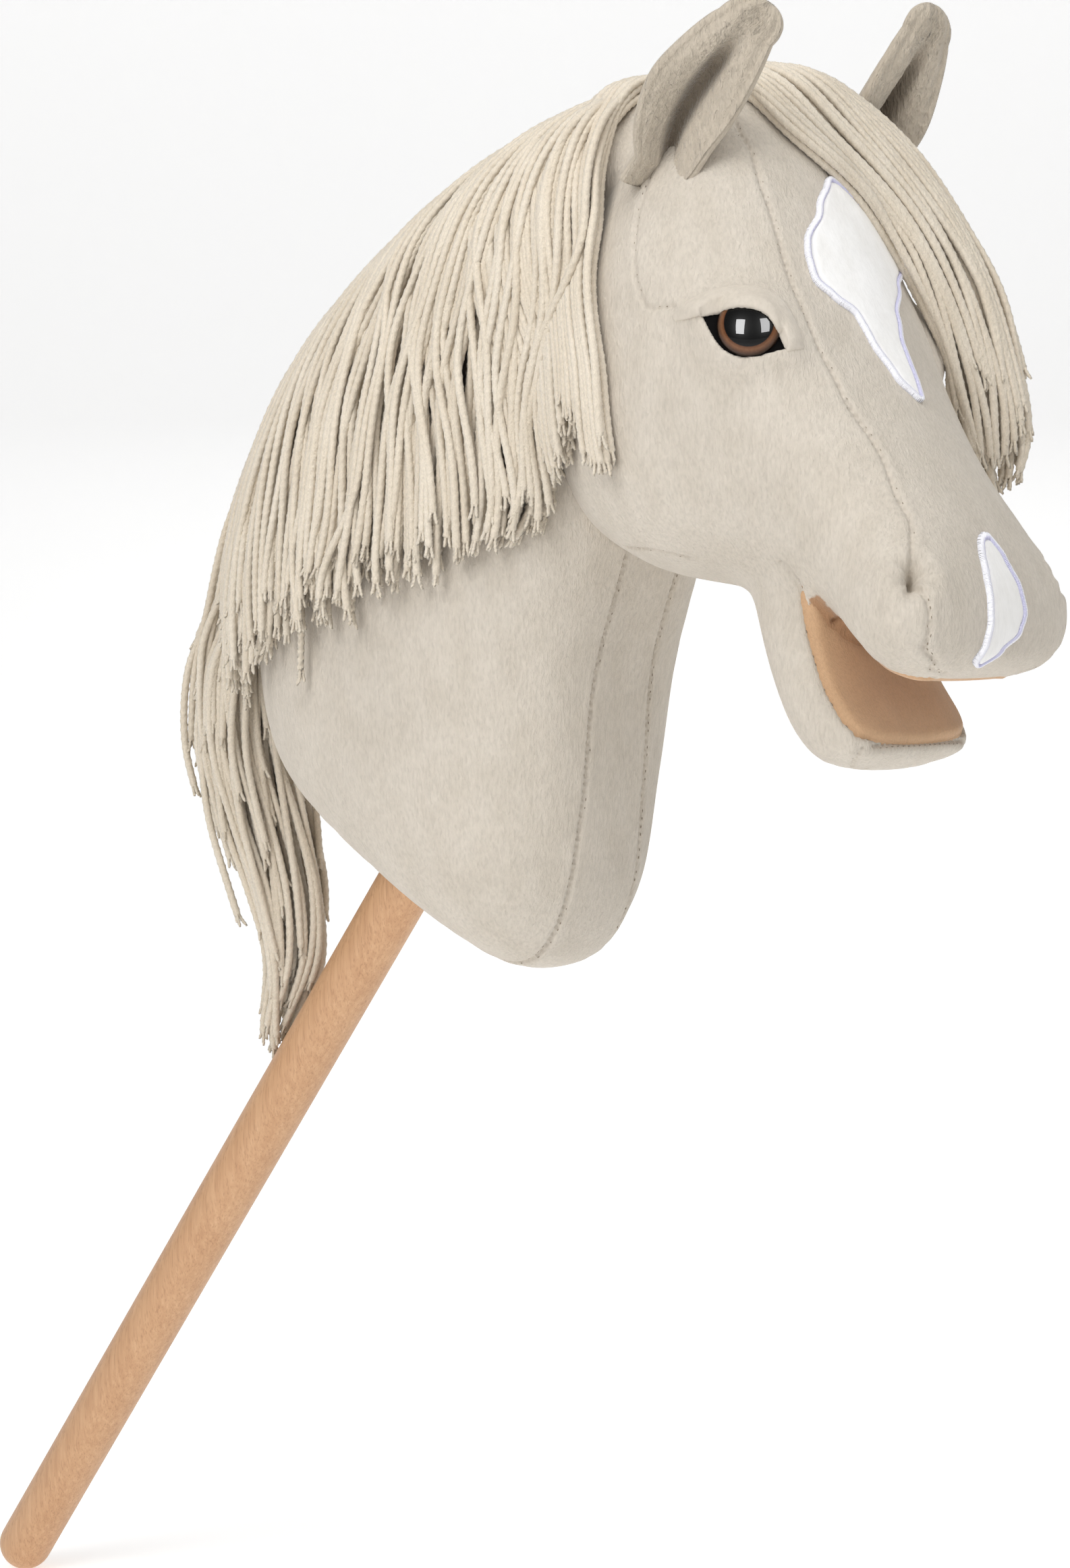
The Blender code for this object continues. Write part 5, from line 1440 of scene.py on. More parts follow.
marking_pieces("blaze", BLAZE_RIGHT, BLAZE_LEFT, 0.268, 0.506, 0.45)
marking_pieces("snip", SNIP_RIGHT, SNIP_LEFT, 0.690, 0.938, 0.24)


# ------------------------------------------------------------------ ears
def ear_frame(spec):
    base, tip, face_way = (Vector(p) for p in spec)
    along = (tip - base).normalized()
    open_way = (face_way - along * face_way.dot(along)).normalized()
    return base, tip, along, open_way, along.cross(open_way)


def ramped(x, lo, hi):
    w = min(1.0, max(0.0, (x - lo) / (hi - lo)))
    return w * w * (3 - 2 * w)


EAR_ROUND = 0.84


EAR_TURN = EAR_BOW[:-2] + [(0.90, 0.0034), (1.0, 0.0014)]


def ear_half(t):
    if t <= EAR_ROUND:
        return curved(EAR_WIDTH, t)
    return curved(EAR_WIDTH, EAR_ROUND) * math.sqrt(max(0.0, 1 - ((t - EAR_ROUND) / (1 - EAR_ROUND)) ** 2))


def ear_point(spec, t, v, off):
    """Point on the folded leaf: t from base to tip, v across (-1..1), off out of its back."""
    base, tip, along, open_way, wide = ear_frame(spec)
    length = (tip - base).length
    half = max(ear_half(t), 0.0006)
    fold = curved(EAR_FOLD, t)
    radius = half / fold
    crease = 0.0060 * (1 - ramped(t, 0.25, 0.90)) * min(1.0, half / 0.018)
    bow = (EAR_BOW_RIGHT if base.y < 0 else EAR_BOW_LEFT) * curved(EAR_TURN, t)

    def leaf(w):
        q = fold * w
        deep = crease * (1 - min(1.0, abs(w)) ** 1.2)
        return radius * math.sin(q), radius * (1 - math.cos(q)) - 0.5 * half * math.sin(fold / 2) - deep
    x, y = leaf(v)
    x1, y1 = leaf(v + 0.04)
    x0, y0 = leaf(v - 0.04)
    nx, ny = (y1 - y0), -(x1 - x0)
    size = math.hypot(nx, ny)
    x += off * nx / size
    y += off * ny / size
    return base + along * (length * t) + wide * (x + bow) + open_way * y


def ear_meshes(tag, spec):
    base, tip, along, open_way, wide = ear_frame(spec)
    cols = 72
    ts = [-0.14 + (EAR_ROUND + 0.14) * i / 92 for i in range(93)]
    ts += [EAR_ROUND + (0.997 - EAR_ROUND) * math.sin(math.pi / 2 * i / 26) for i in range(1, 27)]
    shell_rings, pile_rings, valley_painted_shade = [], [], []
    for t in ts:
        half = ear_half(t)
        tip_k = min(1.0, max(0.12, half / 0.010))
        thick_out = 0.0022 * tip_k
        thick_in = 0.0020 * tip_k
        edge = min(0.30, 0.0036 / max(half, 1e-4))
        ring = []

        def shell_at(v, off):
            p = ear_point(spec, t, v, off)
            n = (p - ear_point(spec, t, v, off - 0.001)).normalized()
            ring.append(tuple(p + n * 0.00030 * tip_k * fluff(p, along)))
        for j in range(cols + 1):
            shell_at(-1 + 2 * j / cols, thick_out)
        mid = (thick_out - thick_in) / 2
        rad = (thick_out + thick_in) / 2

        def rim(side, q, more=0.0):
            return ear_point(spec, t, side * (1 + edge * (0.62 + more / 0.0036) * math.sin(q)), mid + (rad + more) * math.cos(q))
        for k in range(1, 10):
            ring.append(tuple(rim(1, math.pi * k / 10)))
        for g in (0.0, 0.5, 1.0):
            ring.append(tuple(ear_point(spec, t, 1 - edge * (0.5 + g), -thick_in + 0.0014 * g)))
        for j in range(12):
            v = (1 - 1.6 * edge) * (1 - 2 * (j + 0.5) / 12)
            ring.append(tuple(ear_point(spec, t, v, -0.0010 * tip_k)))
        for g in (1.0, 0.5, 0.0):
            ring.append(tuple(ear_point(spec, t, -1 + edge * (0.5 + g), -thick_in + 0.0014 * g)))
        for k in range(9, 0, -1):
            ring.append(tuple(rim(-1, math.pi * k / 10)))
        shell_rings.append(ring)

        lining = []
        closed = ramped(t, 0.60, 0.88)
        lobe = 0.0064 * min(1.0, half / 0.018) * (0.55 + 0.45 * ramped(t, -0.05, 0.45))
        for k in range(7):
            q = math.pi * (0.45 + 0.55 * k / 7)
            p = rim(-1, q, 0.0005 * tip_k)
            lining.append(tuple(p + along * 0.0003 * tip_k * fluff(p, along)))
            valley_painted_shade.append(0.0)
        for j in range(cols + 1):
            v = -1 + 2 * j / cols
            g = abs(v)
            rise = math.sin(min(1.0, max(0.0, g - 0.10) / 0.50) * math.pi / 2) ** 1.3
            rise = rise + (1 - rise) * closed
            fall = math.sqrt(max(0.0, 1 - max(0.0, (g - 0.45) / 0.56) ** 2))
            pad = 0.0007 * tip_k + lobe * rise * fall
            p = ear_point(spec, t, v, -(thick_in + pad))
            n = (p - ear_point(spec, t, v, -(thick_in + pad) + 0.001)).normalized()
            way = (along + wide * (0.8 if v > 0 else -0.8) * (1 - g)).normalized()
            lining.append(tuple(p + n * 0.00075 * tip_k * fluff(p, way)))
            # painted shade in the ear's valley: strongest along its middle near the base, fading out towards the rims
            # and by the tip
            reach = 0.34 + 0.14 * ramped(t, 0.0, 0.35) - 0.10 * ramped(t, 0.55, 0.80)
            valley_painted_shade.append((1 - ramped(t, 0.52, 0.84)) * math.exp(-(g / reach) ** 3) * (0.80 + 0.20 * ramped(0.4 - t, 0.0, 0.4)))
        for k in range(7):
            q = math.pi * (1 - 0.40 * (k + 1) / 7)
            p = rim(1, q, 0.0005 * tip_k)
            lining.append(tuple(p + along * 0.0003 * tip_k * fluff(p, along)))
            valley_painted_shade.append(0.0)
        for j in range(36):
            v = 0.97 - 1.94 * (j + 0.5) / 36
            lining.append(tuple(ear_point(spec, t, v, -thick_in * 0.45)))
            valley_painted_shade.append(0.0)
        pile_rings.append(lining)
    shell = rings_to_mesh("ear_outer_" + tag, shell_rings)
    pile = rings_to_mesh("ear_inner_" + tag, pile_rings)
    # the fold attribute carries the painted valley shade
    add_float(pile, "fold", valley_painted_shade + [0.0, 0.0])
    return shell, pile


for tag, spec in (("right", EAR_RIGHT), ("left", EAR_LEFT)):
    shell, pile = ear_meshes(tag, spec)
    base, tip, along, open_way, wide = ear_frame(spec)
    for mesh, mat, cad in ((shell, EAR_MAT, "ear_shell_"), (pile, EAR_PILE_PAINTED_SHADE, "ear_lining_")):
        obj = place(mesh.name, mesh, mat, None)
        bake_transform(obj)
        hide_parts(cad + tag)


# ------------------------------------------------------------------ yarn
YARN_R = 0.00190


def frames_along(path):
    t = np.gradient(path, axis=0)
    t /= np.maximum(np.linalg.norm(t, axis=1), 1e-9)[:, None]
    u = np.zeros_like(path)
    ref = np.array([0.0, 1.0, 0.0]) if abs(t[0][1]) < 0.8 else np.array([1.0, 0.0, 0.0])
    u[0] = np.cross(t[0], ref)
    u[0] /= np.linalg.norm(u[0])
    for i in range(1, len(path)):
        w = u[i - 1] - t[i] * np.dot(u[i - 1], t[i])
        u[i] = w / max(1e-9, np.linalg.norm(w))
    return t, u, np.cross(t, u)


class Yarns:
    """Gathers strands into meshes of limited size."""

    def __init__(self, name, limit=150000):
        self.name, self.limit, self.count = name, limit, 0
        self.objects = []
        self.clear()

    def clear(self):
        self.v, self.q, self.t, self.tone, self.n = [], [], [], [], 0
        self.faces = 0

    def tube(self, path, radius, sides, lobes, pitch, tone, phase, end_taper=True):
        t, u, w = frames_along(path)
        s = np.concatenate([[0], np.cumsum(np.linalg.norm(np.diff(path, axis=0), axis=1))])
        th = np.linspace(0, 2 * math.pi, sides, endpoint=False)
        ang = th[None, :] + (2 * math.pi * s / pitch)[:, None] + phase
        if lobes:
            prof = radius * (1 + 0.075 * np.cos(lobes * th))[None, :]
        else:
            prof = np.full((1, sides), radius)
        r = np.repeat(prof, len(path), axis=0)
        if end_taper:
            r[-1] *= 0.6
            r[0] *= 0.6
        ring = path[:, None, :] + r[:, :, None] * (np.cos(ang)[:, :, None] * u[:, None, :] + np.sin(ang)[:, :, None] * w[:, None, :])
        n, m = len(path), sides
        self.v.append(ring.reshape(-1, 3))
        self.v.append(path[:1])
        self.v.append(path[-1:])
        i = np.arange(n - 1)[:, None] * m
        j = np.arange(m)[None, :]
        k = (j + 1) % m
        q = np.stack([i + j, i + k, i + m + k, i + m + j], axis=-1).reshape(-1, 4) + self.n
        self.q.append(q)
        jj = np.arange(m)
        kk = (jj + 1) % m
        first = np.stack([kk, jj, np.full(m, n * m)], axis=1) + self.n
        last = np.stack([(n - 1) * m + jj, (n - 1) * m + kk, np.full(m, n * m + 1)], axis=1) + self.n
        self.t += [first, last]
        self.tone.append(np.full(n * m + 2, tone))
        self.n += n * m + 2
        self.faces += len(q) + 2 * m

    def strand(self, path, fine=True, radius=YARN_R, tone=None, frayed=True):
        tone = rng.random() if tone is None else tone
        phase = rng.uniform(0, 6.28)
        length = length_of(path)
        if fine:
            path = evenly(path, max(6, int(length / 0.0013)))
            self.tube(path, radius, 9, 3, 0.0135, tone, phase)
        else:
            path = evenly(path, max(5, int(length / 0.0035)))
            self.tube(path, radius, 6, 0, 0.01, tone, phase)
        if frayed and len(path) > 6:
            t, u, w = frames_along(path)
            d, a, b, tip = t[-1], u[-1], w[-1], path[-1]
            for k in range(3):
                q = phase + 2.094 * k + rng.uniform(-0.4, 0.4)
                way = a * math.cos(q) + b * math.sin(q)
                reach = rng.uniform(0.0030, 0.0062)
                spread_k = rng.uniform(0.10, 0.42)
                ply = []
                for e in range(6):
                    x = e / 5
                    ply.append(tip - d * 0.002 + d * (reach + 0.002) * x + way * (radius * 0.45 + reach * spread_k * x * x))
                self.tube(np.array(ply), radius * 0.48, 5, 0, 0.01, tone * 0.9 + 0.1, 0.0)
        if self.faces > self.limit:
            self.flush()

    def flush(self):
        if not self.v:
            return
        name = f"{self.name}_{self.count:02d}"
        mesh = fast_mesh(name, np.vstack(self.v), np.vstack(self.q), np.vstack(self.t))
        add_float(mesh, "tone", np.concatenate(self.tone))
        self.objects.append(place(name, mesh, YARN_MAT))
        self.count += 1
        self.clear()


curtain_tree = tree_of(bpy_mesh(curtain.solid(0.0, 60, 64)))


def pushed(p, out, trees=None):
    """p moved out of the head and neck, so that it lies out above them."""
    for tree in trees or (neck_tree, head_tree):
        loc, nor, _, dist = tree.find_nearest(p)
        if loc is None or dist > 0.06:
            continue
        s = (p - loc).dot(nor)
        if s < out and (s > 0 or dist < 0.045):
            p = p + nor * min(out - s, 0.012)
    return p


def softened(path, rounds=3):
    for _ in range(rounds):
        path[1:-1] = 0.5 * path[1:-1] + 0.25 * (path[:-2] + path[2:])
    return path


def hang(root, way, out, stop, gain, cling=0.0, steps=100, step=0.004, sway=0.05, phase=0.0, lean=(0, 0),
         roof=None, side=-1):
    """A strand that starts at root, bends under its weight and lies on what is under it."""
    p, d = Vector(root), Vector(way).normalized()
    path = [np.array(p)]
    travelled = 0.0
    down = Vector((lean[0], lean[1], -1)).normalized()
    for k in range(steps):
        wobble = sway * (math.sin(travelled / 0.0135 + phase) + 0.8 * math.sin(travelled / 0.031 + phase * 1.7))
        loc, nor, _, dist = curtain_tree.find_nearest(p)
        lift = (p - loc).dot(nor)
        hold = cling * max(0.0, min(1.0, 1.4 + 3.0 * nor.z)) * max(0.0, 1 - max(0.0, lift - out) / 0.03)
        d = d + down * gain + Vector((wobble, 0.4 * wobble, 0)) * 0.08
        d = (d - nor * d.dot(nor) * hold).normalized()
        q = p + d * step
        if hold > 0.01:
            loc, nor, _, dist = curtain_tree.find_nearest(q)
            lift = (q - loc).dot(nor)
            q = q + nor * (out - lift) * 0.45 * hold
        if roof is not None:
            loc, nor, _, dist = curtain_tree.find_nearest(q)
            lift, most = (q - loc).dot(nor), roof(q)
            if lift > most:
                q = q - nor * (lift - most) * 0.35
        q = pushed(q, out, (curtain_tree,))
        for tree in (head_tree, neck_tree):
            hit = tree.ray_cast(Vector((q.x, side * 0.2, q.z)), Vector((0, -side, 0)), 0.2)
            if hit[0] is None:
                continue
            rest = side * hit[0].y + min(0.5, abs(hit[1].z)) * 0.004 + out
            if side * q.y < rest:
                q.y = side * (side * q.y + min(0.0045, rest - side * q.y))
        q = pushed(q, YARN_R + 0.0006)
        moved = q - p
        if moved.length > 1e-6:
            d = (d * 0.4 + moved.normalized() * 0.6).normalized()
        travelled += moved.length
        p = q
        path.append(np.array(p))
        if stop(p, travelled):
            break
    path = np.array(path)
    return softened(path) if len(path) > 5 else path


HEM = [(0.120, 0.516), (0.200, 0.508), (0.240, 0.503), (0.276, 0.507), (0.300, 0.523), (0.345, 0.532), (0.3735, 0.545),
       (0.402, 0.556), (0.4175, 0.563), (0.436, 0.573), (0.450, 0.590), (0.470, 0.610)]


def hem_at(x):
    for (x0, z0), (x1, z1) in zip(HEM, HEM[1:]):
        if x <= x1:
            return z0 + (z1 - z0) * min(1.0, max(0.0, (x - x0) / (x1 - x0)))
    return HEM[-1][1]


def ridge(f):
    """Point on the line the yarn is sewn along, 0 low on the neck and 1 at the poll, and the way back along it."""
    def point(g):
        if g < 0.84:
            return Vector(curtain.at(0.24 + 0.76 * g / 0.84, math.pi))
        w = min(1.0, (g - 0.84) / 0.16)
        return Vector(curtain.at(1.0, math.pi)).lerp(Vector((0.4520, 0, 0.7390)), w)
    f = min(max(f, 0.0), 1.0)
    a, c = point(max(0.0, f - 0.02)), point(min(1.0, f + 0.02))
    back = (a - c).normalized()
    out = Vector((back.z, 0, -back.x))
    if out.z < 0:
        out = -out
    return point(f), back, out


def mane_side(yarns, side, layers, per_layer, fine_layers):
    for layer in range(layers):
        bed = layer == 0
        count = int(per_layer * 1.75) if bed else per_layer
        for i in range(count):
            f = (i + rng.uniform(-0.4, 0.4) + 0.5 * (layer % 2)) / count
            f = min(max(f, 0.0), 1.0)
            p, back, out = ridge(f)
            bunch = 0.0 if bed else 0.06 * math.sin(f * 46 + 1.9 * layer) + 0.05 * math.sin(f * 103 + 2.3 * layer)
            k_back = (1.0 if f < 0.55 else 1.0 - 0.70 * ((f - 0.55) / 0.45) ** 1.4) + bunch + rng.uniform(-0.08, 0.08)
            k_side = (0.50 if f < 0.55 else 0.50 + 0.50 * (f - 0.55) / 0.45) + rng.uniform(-0.10, 0.12)
            height = (0.0022 + (0.0021 if side < 0 else 0.0027) * layer) + rng.uniform(0, 0.0010)
            top = 0.0055 if f < 0.80 else 0.0030
            root = p + out * (height + top) + Vector((0, side * rng.uniform(-0.0015, 0.003), 0))
            way = back * k_back + Vector((0, side, 0)) * k_side + out * (0.10 + 0.10 * rng.random())
            rear = max(0.0, 1 - f / 0.42)
            ragged = rng.uniform(-0.015, 0.012) + 0.004 * math.sin(f * 37) \
                + (rng.uniform(0.008, 0.024) if rng.random() < 0.10 and f < 0.7 else 0)

            def stop(q, s, ragged=ragged):
                return q.z < hem_at(q.x) - ragged or s > 0.34
            stray = rng.random() < 0.08 and f < 0.75 and not bed
            gain = 0.060 + 0.030 * f + 0.014 * rng.random() + 0.03 * rear

            def roof(q, height=height, rear=rear):
                return height + 0.006 + rear * 0.045 * min(1.0, max(0.0, (0.645 - q.z) / 0.10))
            path = hang(root, way, height, stop, gain, cling=1 - 0.85 * rear, sway=1.1 if stray else 0.12 if bed else 0.42,
                        phase=1.1 * math.sin(f * 31) + rng.uniform(-1.3, 1.3),
                        lean=(0 if bed else rng.uniform(-0.05, 0.05), 0), roof=roof,
                        side=side)
            if len(path) > 6:
                # the bed layer, under the others, gets lower tone values than the rest: painted shade on top of a
                # random tone
                yarns.strand(path, fine=layer in fine_layers,
                             tone=0.35 + 0.65 * rng.random() if layer > 0 else 0.25 + 0.35 * rng.random())


FRONT_EDGE = [(0.4500, 0.0020, 0.7480), (0.4440, 0.0170, 0.7450), (0.4425, 0.0300, 0.7370), (0.4440, 0.0450, 0.7260),
              (0.4475, 0.0600, 0.7095), (0.4515, 0.0680, 0.6810), (0.4540, 0.0700, 0.6534), (0.4615, 0.0770, 0.6254),
              (0.4650, 0.0780, 0.6106), (0.4690, 0.0760, 0.5711)]


def front_fringe(yarns, side, count, layers):
    """The foremost strands, which lie on the side of the head behind the ear."""
    for layer in range(layers):
        for k in range(count):
            back = (k + rng.uniform(-0.35, 0.35) + 0.5 * (layer % 2)) * 0.0034
            phase, bow = rng.uniform(0, 6.28), rng.uniform(-0.0016, 0.0016)
            keys = []
            for i, (x, y, z) in enumerate(FRONT_EDGE):
                low = ramped(i, 2, 7)
                keys.append((x - back * (1 - 0.25 * low) + bow * math.sin(i * 0.9 + phase), y,
                             z - back * 0.32 * (1 - ramped(i, 0, 5))))
            path = spline(keys, 100)
            z_end = hem_at(path[-1][0]) + rng.uniform(-0.004, 0.014) if back > 0.016 else 0.571 + rng.uniform(0.0, 0.022)
            lift = YARN_R + 0.0006 + 0.0030 * layer + rng.uniform(0, 0.0008)
            rest = []
            for q in path:
                far = 0.0
                for tree in (head_tree, neck_tree, curtain_tree):
                    hit = tree.ray_cast(Vector((q[0], 0.2, q[2])), Vector((0, -1, 0)), 0.2)
                    if hit[0] is not None:
                        far = max(far, hit[0].y)
                rest.append(far)
            rest = np.array(rest)
            for _ in range(14):
                rest[1:-1] = np.maximum(rest[1:-1] * 0.5, 0) + 0.25 * (rest[:-2] + rest[2:])
            out = []
            for q, far in zip(path, rest):
                steep = ramped(0.735 - q[2], 0.0, 0.030)
                y = (1 - steep) * q[1] + steep * (far + lift)
                p = Vector((q[0], side * y, q[2]))
                out.append(np.array(pushed(p, lift)))
            out = softened(np.array(out), 6)
            out = out[out[:, 2] >= z_end]
            if len(out) > 8:
                yarns.strand(out, fine=True, tone=0.3 + 0.7 * rng.random())


def make_mane():
    right = Yarns("mane_yarn_right")
    front_fringe(right, -1, 24, 3)
    mane_side(right, -1, 5, 100, (1, 2, 3, 4))
    right.flush()
    left = Yarns("mane_yarn_left")
    front_fringe(left, 1, 24, 3)
    mane_side(left, 1, 4, 98, (1, 2, 3))
    left.flush()
    tuft = Yarns("mane_yarn_rear")
    tiers = [(0.462, 0.500, 66), (0.418, 0.458, 66), (0.386, 0.418, 52), (0.352, 0.380, 36), (0.292, 0.345, 44)]
    for low, high, count in tiers:
        for i in range(count):
            z_end = rng.uniform(low, high)
            deep = z_end < 0.40
            back_k = rng.uniform(0.25, 0.95) if deep else rng.uniform(-0.05, 0.90)
            side = rng.uniform(-1, 1)
            f = 0.40 * rng.random()
            p, back, out = ridge(f)
            root = p + out * (0.003 + 0.010 * (1 - back_k)) + Vector((0, 0.010 * side, 0))
            path = [root]
            if root.z > 0.620:
                path.append(Vector((0.2010 + 0.022 * back_k, 0.014 * side, 0.600)))
            if root.z > 0.580:
                path.append(Vector((0.1800 + 0.026 * back_k, 0.016 * side, 0.560)))
            phase, sweep = rng.uniform(0, 6.28), rng.uniform(-0.35, 0.35)
            for n, (fx, fz, bx, bz, half, _, _, _) in enumerate(TUFT):
                if fz < z_end - 0.030:
                    break
                k = back_k + sweep * (n / 7) * 0.5
                c = side * math.sqrt(max(0.0, 1 - (2 * min(1.0, max(0.0, k)) - 1) ** 2 * 0.5))
                bend = 0.0022 * math.sin(n * 1.1 + phase)
                path.append(Vector((bx + (fx - bx) * k + bend, (half + 0.002) * c + bend, fz)))
            path = spline([tuple(q) for q in path], 120)
            path = np.array([np.array(pushed(Vector(q), YARN_R + 0.0006)) for q in path])
            path = softened(path[path[:, 2] >= z_end], 4)
            if len(path) > 8:
                tuft.strand(path, fine=True, tone=0.15 + 0.8 * rng.random())
    tuft.flush()
    return right, left, tuft


def lock_row(u):
    rows = np.array(FORELOCK, float)
    last = len(rows) - 1
    t = min(max(u, 0.0), 1.0) * last
    i = min(int(t), last - 1)
    t -= i
    p1, p2 = rows[i], rows[i + 1]
    p0 = rows[i - 1] if i > 0 else 2 * p1 - p2
    p3 = rows[i + 2] if i + 2 <= last else 2 * p2 - p1
    return 0.5 * (2 * p1 + (p2 - p0) * t + (2 * p0 - 5 * p1 + 4 * p2 - p3) * t * t + (3 * p1 - p0 - 3 * p2 + p3) * t ** 3)


def make_forelock():
    lock = Yarns("forelock_yarn")
    across_n, layers = 19, 4
    for layer in range(layers):
        for i in range(across_n):
            c = (i + 0.5 + 0.5 * (layer % 2) + rng.uniform(-0.35, 0.35)) / (across_n + 0.5)
            h = -1 + 2 * (layer + 0.5) / layers
            u_end = rng.uniform(0.70, 0.86) if rng.random() < 0.55 else rng.uniform(0.86, 0.985)
            phase = rng.uniform(0, 6.28)
            drift = rng.uniform(-0.22, 0.22)
            path = []
            n = 60
            for k in range(n + 1):
                u = u_end * k / n
                row = lock_row(u)
                ahead, behind = lock_row(min(1.0, u + 0.02)), lock_row(max(0.0, u - 0.02))
                centre = (row[:3] + row[3:6]) / 2
                over = (row[3:6] - row[:3]) / 2
                way = ahead[:3] + ahead[3:6] - behind[:3] - behind[3:6]
                flat = np.cross(way, over)
                flat /= max(1e-9, np.linalg.norm(flat))
                if np.dot(flat, centre - np.array([0.46, 0.0, 0.60])) < 0:
                    flat = -flat
                cc = np.clip(2 * c - 1 + drift * u * math.sin(3.0 * u + phase), -0.97, 0.97)
                cc -= 0.95 * max(0.0, 0.25 - (2 * c - 1)) / 1.25 * max(0.0, 1 - u / 0.50) ** 0.9
                room = math.sqrt(max(0.0, 1 - cc * cc))
                wob = 0.0016 * math.sin(u * 13 + phase) * min(1.0, u * 5)
                q = centre + over * cc * 0.96 + flat * row[6] * 0.86 * h * room + over / np.linalg.norm(over) * wob
                laid = min(1.0, max(0.0, (-0.70 - cc) / 0.45))
                if laid > 0:
                    loc, nor, _, _ = head_tree.find_nearest(Vector(q))
                    q = (1 - laid) * q + laid * np.array(loc + nor * (0.0024 + 0.0018 * layer))
                path.append(np.array(pushed(Vector(q), 0.0026 + (0.0018 * layer if u < 0.45 else 0.0), (head_tree,))))
            first = Vector(path[0])
            under = [Vector((first.x - back, first.y * (1 - 14 * back), first.z - drop)) for back, drop in
                     ((0.0200, 0.0035), (0.0135, 0.0015), (0.0068, 0.0003))]
            path = [np.array(pushed(q, 0.0020 + 0.0012 * layer, (head_tree,))) for q in under] + path
            # the two layers nearest the head get lower tone values: painted shade on top of a random tone
            lock.strand(softened(np.array(path), 4), fine=True,
                        tone=0.35 + 0.65 * rng.random() if layer > 1 else 0.45 * rng.random())
    lock.flush()
    return lock


right, left, tuft = make_mane()
lock = make_forelock()
for group, nodes in ((right, ["mane_right"]), (left, ["mane_left"]), (tuft, ["mane_tuft"]), (lock, ["forelock"])):
    for obj in group.objects:
        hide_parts(*nodes)


# ------------------------------------------------------------------ stick
def stick_mesh():
    r = STICK_D / 2
    flat_angle = math.asin(STICK_END_FLAT / 2 / r)
    base = r * math.cos(flat_angle)
    prof = [(STICK_END_FLAT / 2 * 0.5, 0.0), (STICK_END_FLAT / 2, 0.0)]
    for i in range(1, 13):
        t = flat_angle + (math.pi / 2 - flat_angle) * i / 12
        prof.append((r * math.sin(t), base - r * math.cos(t)))
    for i in range(1, 90):
        prof.append((r, base + (STICK_LENGTH - 0.003 - base) * i / 89))
    prof += [(r - 0.0012, STICK_LENGTH - 0.0012), (r - 0.003, STICK_LENGTH)]
    rings = []
    for rr, h in prof:
        rings.append([tuple(AXIS * h + (side_way * math.cos(2 * math.pi * j / 72) + over_way * math.sin(2 * math.pi * j / 72)) * rr)
                      for j in range(72)])
    return rings_to_mesh("beech_stick", rings)


stick = place("beech_stick", stick_mesh(), WOOD_MAT, STICK_BODY)
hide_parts("stick")

# ------------------------------------------------------------------ hidden pieces keep their solids
for name, mat in (("stick_sleeve", COTTON_MAT), ("sleeve_cap", COTTON_MAT), ("mane_tape", TAPE_MAT),
                  ("forelock_tape", TAPE_MAT), ("eye_washer_right", WASHER_MAT), ("eye_washer_left", WASHER_MAT)):
    node = frame["nodes"][name]
    node.data.materials.clear()
    node.data.materials.append(mat)
    node.data.shade_smooth()

# ------------------------------------------------------------------ stage, light, camera
def stage_mesh():
    """A pale sweep: floor that curves up into a back wall."""
    away = Vector((-math.sin(math.radians(39.5)), math.cos(math.radians(39.5)), 0))
    side = Vector((away.y, -away.x, 0))
    prof = [(-6.0, 0.0), (2.2, 0.0)]
    for i in range(1, 25):
        t = math.pi / 2 * i / 24
        prof.append((2.2 + 1.8 * math.sin(t), 1.8 - 1.8 * math.cos(t)))
    prof.append((4.0, 6.0))
    v, quads = [], []
    for s in (-7.0, 7.0):
        for d, h in prof:
            v.append(tuple(Vector((0.3, 0, -0.0042)) + away * d + side * s + Vector((0, 0, h))))
    n = len(prof)
    for i in range(n - 1):
        quads.append((i, i + 1, n + i + 1, n + i))
    return fast_mesh("studio_sweep", v, quads)


sweep_mat, sweep_tree, sweep_shader = nodes_of("sweep_paper")
sweep_shader.inputs["Base Color"].default_value = (0.93, 0.93, 0.93, 1)
sweep_shader.inputs["Roughness"].default_value = 0.95
sweep_shader.inputs["Specular IOR Level"].default_value = 0.0
sweep_shader.inputs["Emission Color"].default_value = (1.0, 1.0, 1.0, 1)
sweep_shader.inputs["Emission Strength"].default_value = 0.44
sweep = place("studio_sweep", stage_mesh(), sweep_mat, None)

world = bpy.data.worlds.new("studio")
SCENE.world = world
world.use_nodes = True
world.node_tree.nodes["Background"].inputs["Color"].default_value = (1.0, 0.99, 0.975, 1)
world.node_tree.nodes["Background"].inputs["Strength"].default_value = 0.235
SCENE.view_settings.view_transform = "Standard"
SCENE.view_settings.look = "None"

CAM = Vector((1.33632978, -1.18090022, 0.51134601))
AZ, EL = math.radians(39.5), math.radians(3.0)
RIGHT = Vector((math.cos(AZ), math.sin(AZ), 0))
FORWARD = Vector((-math.sin(AZ) * math.cos(EL), math.cos(AZ) * math.cos(EL), -math.sin(EL)))
UP = RIGHT.cross(FORWARD)


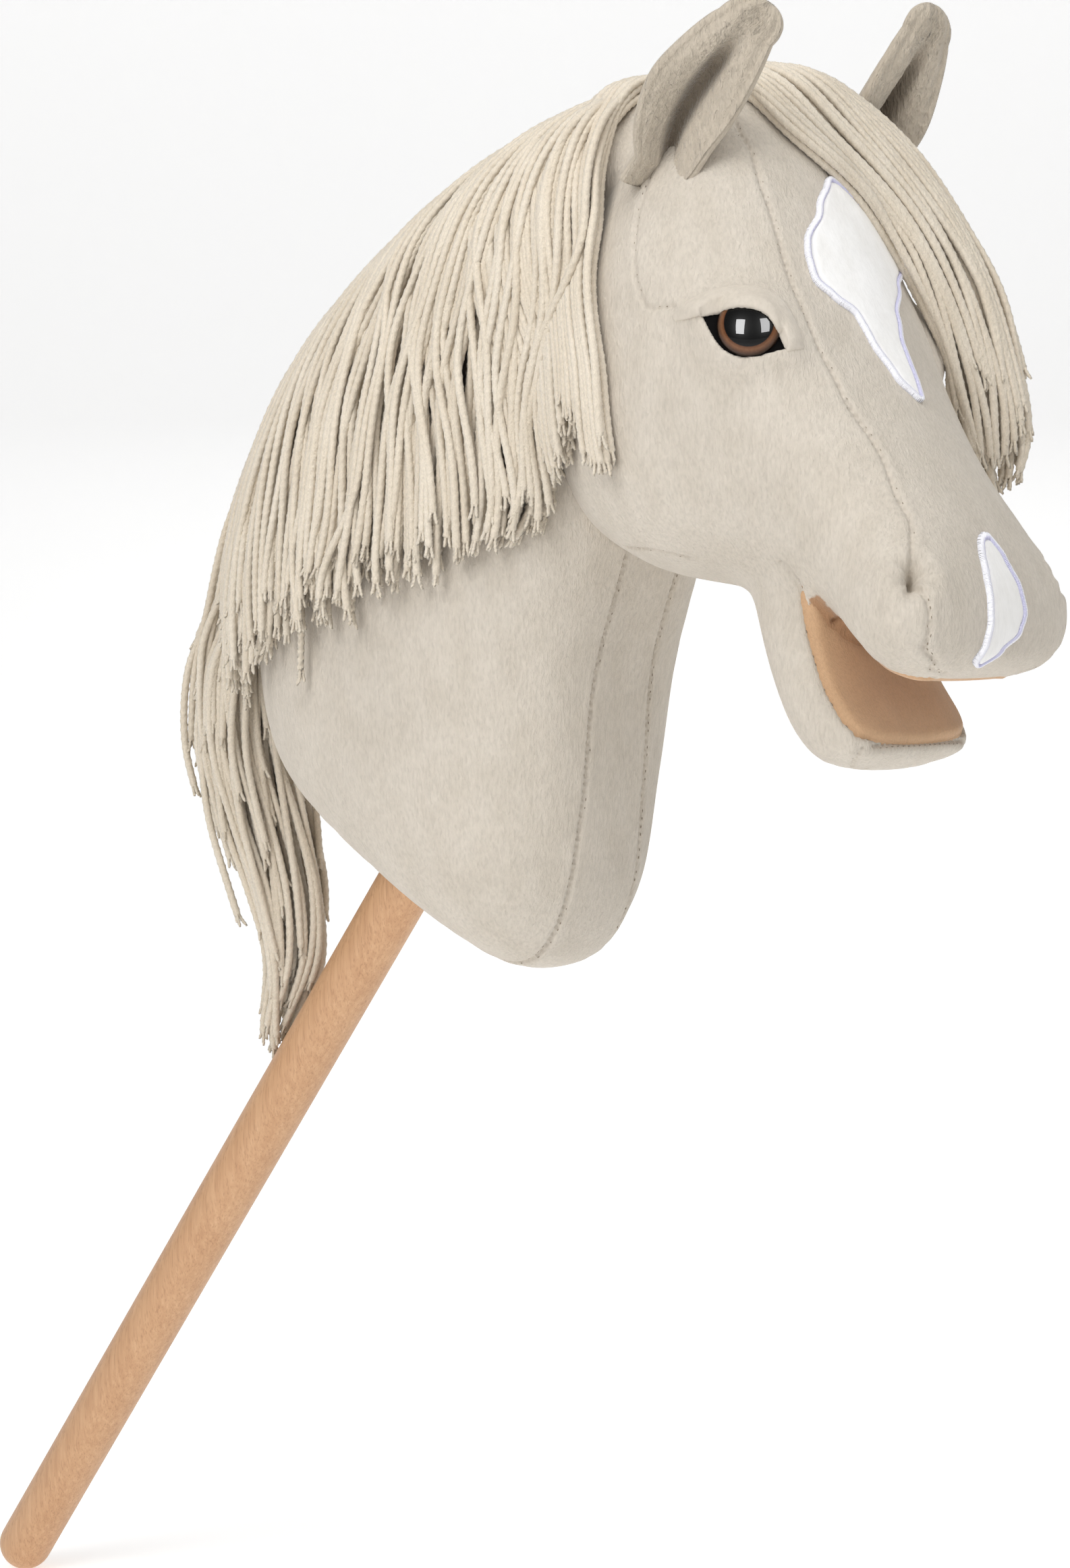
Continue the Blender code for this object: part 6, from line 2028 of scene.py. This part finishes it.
def softbox(name, turn_deg, lift_deg, distance, width, height, power, aim=Vector((0.45, -0.02, 0.60))):
    """A tall soft light that stands round the object from the camera's side."""
    t, l = math.radians(turn_deg), math.radians(lift_deg)
    back = -FORWARD
    flat = (back * math.cos(t) + RIGHT * math.sin(t)).normalized()
    way = (flat * math.cos(l) + Vector((0, 0, 1)) * math.sin(l)).normalized()
    data = bpy.data.lights.new(name, "AREA")
    data.shape = "RECTANGLE"
    data.size, data.size_y = width, height
    data.energy = power
    obj = bpy.data.objects.new(name, data)
    SCENE.collection.objects.link(obj)
    obj.location = aim + way * distance
    obj.rotation_euler = (-way).to_track_quat("-Z", "Y").to_euler()
    return obj


softbox("softbox_left", -38, 26, 1.9, 0.80, 1.4, 18.3)
softbox("softbox_right", 40, 34, 2.0, 0.75, 1.2, 3)
softbox("softbox_top", 16, 58, 1.7, 1.3, 1.3, 15)
for name, way, width, height, power in (("card_left", (0.2397, -0.9049, 0.3517), 0.37, 0.64, 26),
                                        ("card_right", (0.8534, -0.3580, 0.3789), 0.50, 0.64, 26)):
    eye_spot = Vector((0.5350, -0.0710, 0.6280))
    data = bpy.data.lights.new(name, "AREA")
    data.shape = "RECTANGLE"
    data.size, data.size_y = width, height
    data.energy = power
    card = bpy.data.objects.new(name, data)
    SCENE.collection.objects.link(card)
    card.location = eye_spot + Vector(way) * 1.3
    card.rotation_euler = (-Vector(way)).to_track_quat("-Z", "Y").to_euler()
    card.visible_diffuse = False
for name in ("softbox_left", "softbox_right", "softbox_top"):
    bpy.data.objects[name].visible_glossy = False
softbox("backdrop_light", 180, 35, 1.6, 2.5, 1.2, 10, Vector((-0.6, 1.6, 0.8)))

cam_data = bpy.data.cameras.new("photo_camera")
cam_data.sensor_width = 36.0
cam_data.lens = 4900 * 36.0 / 2324
cam_data.clip_start, cam_data.clip_end = 0.05, 50
cam = bpy.data.objects.new("photo_camera", cam_data)
SCENE.collection.objects.link(cam)
cam.matrix_world = Matrix(((RIGHT.x, UP.x, -FORWARD.x, CAM.x), (RIGHT.y, UP.y, -FORWARD.y, CAM.y),
                           (RIGHT.z, UP.z, -FORWARD.z, CAM.z), (0, 0, 0, 1)))
SCENE.camera = cam
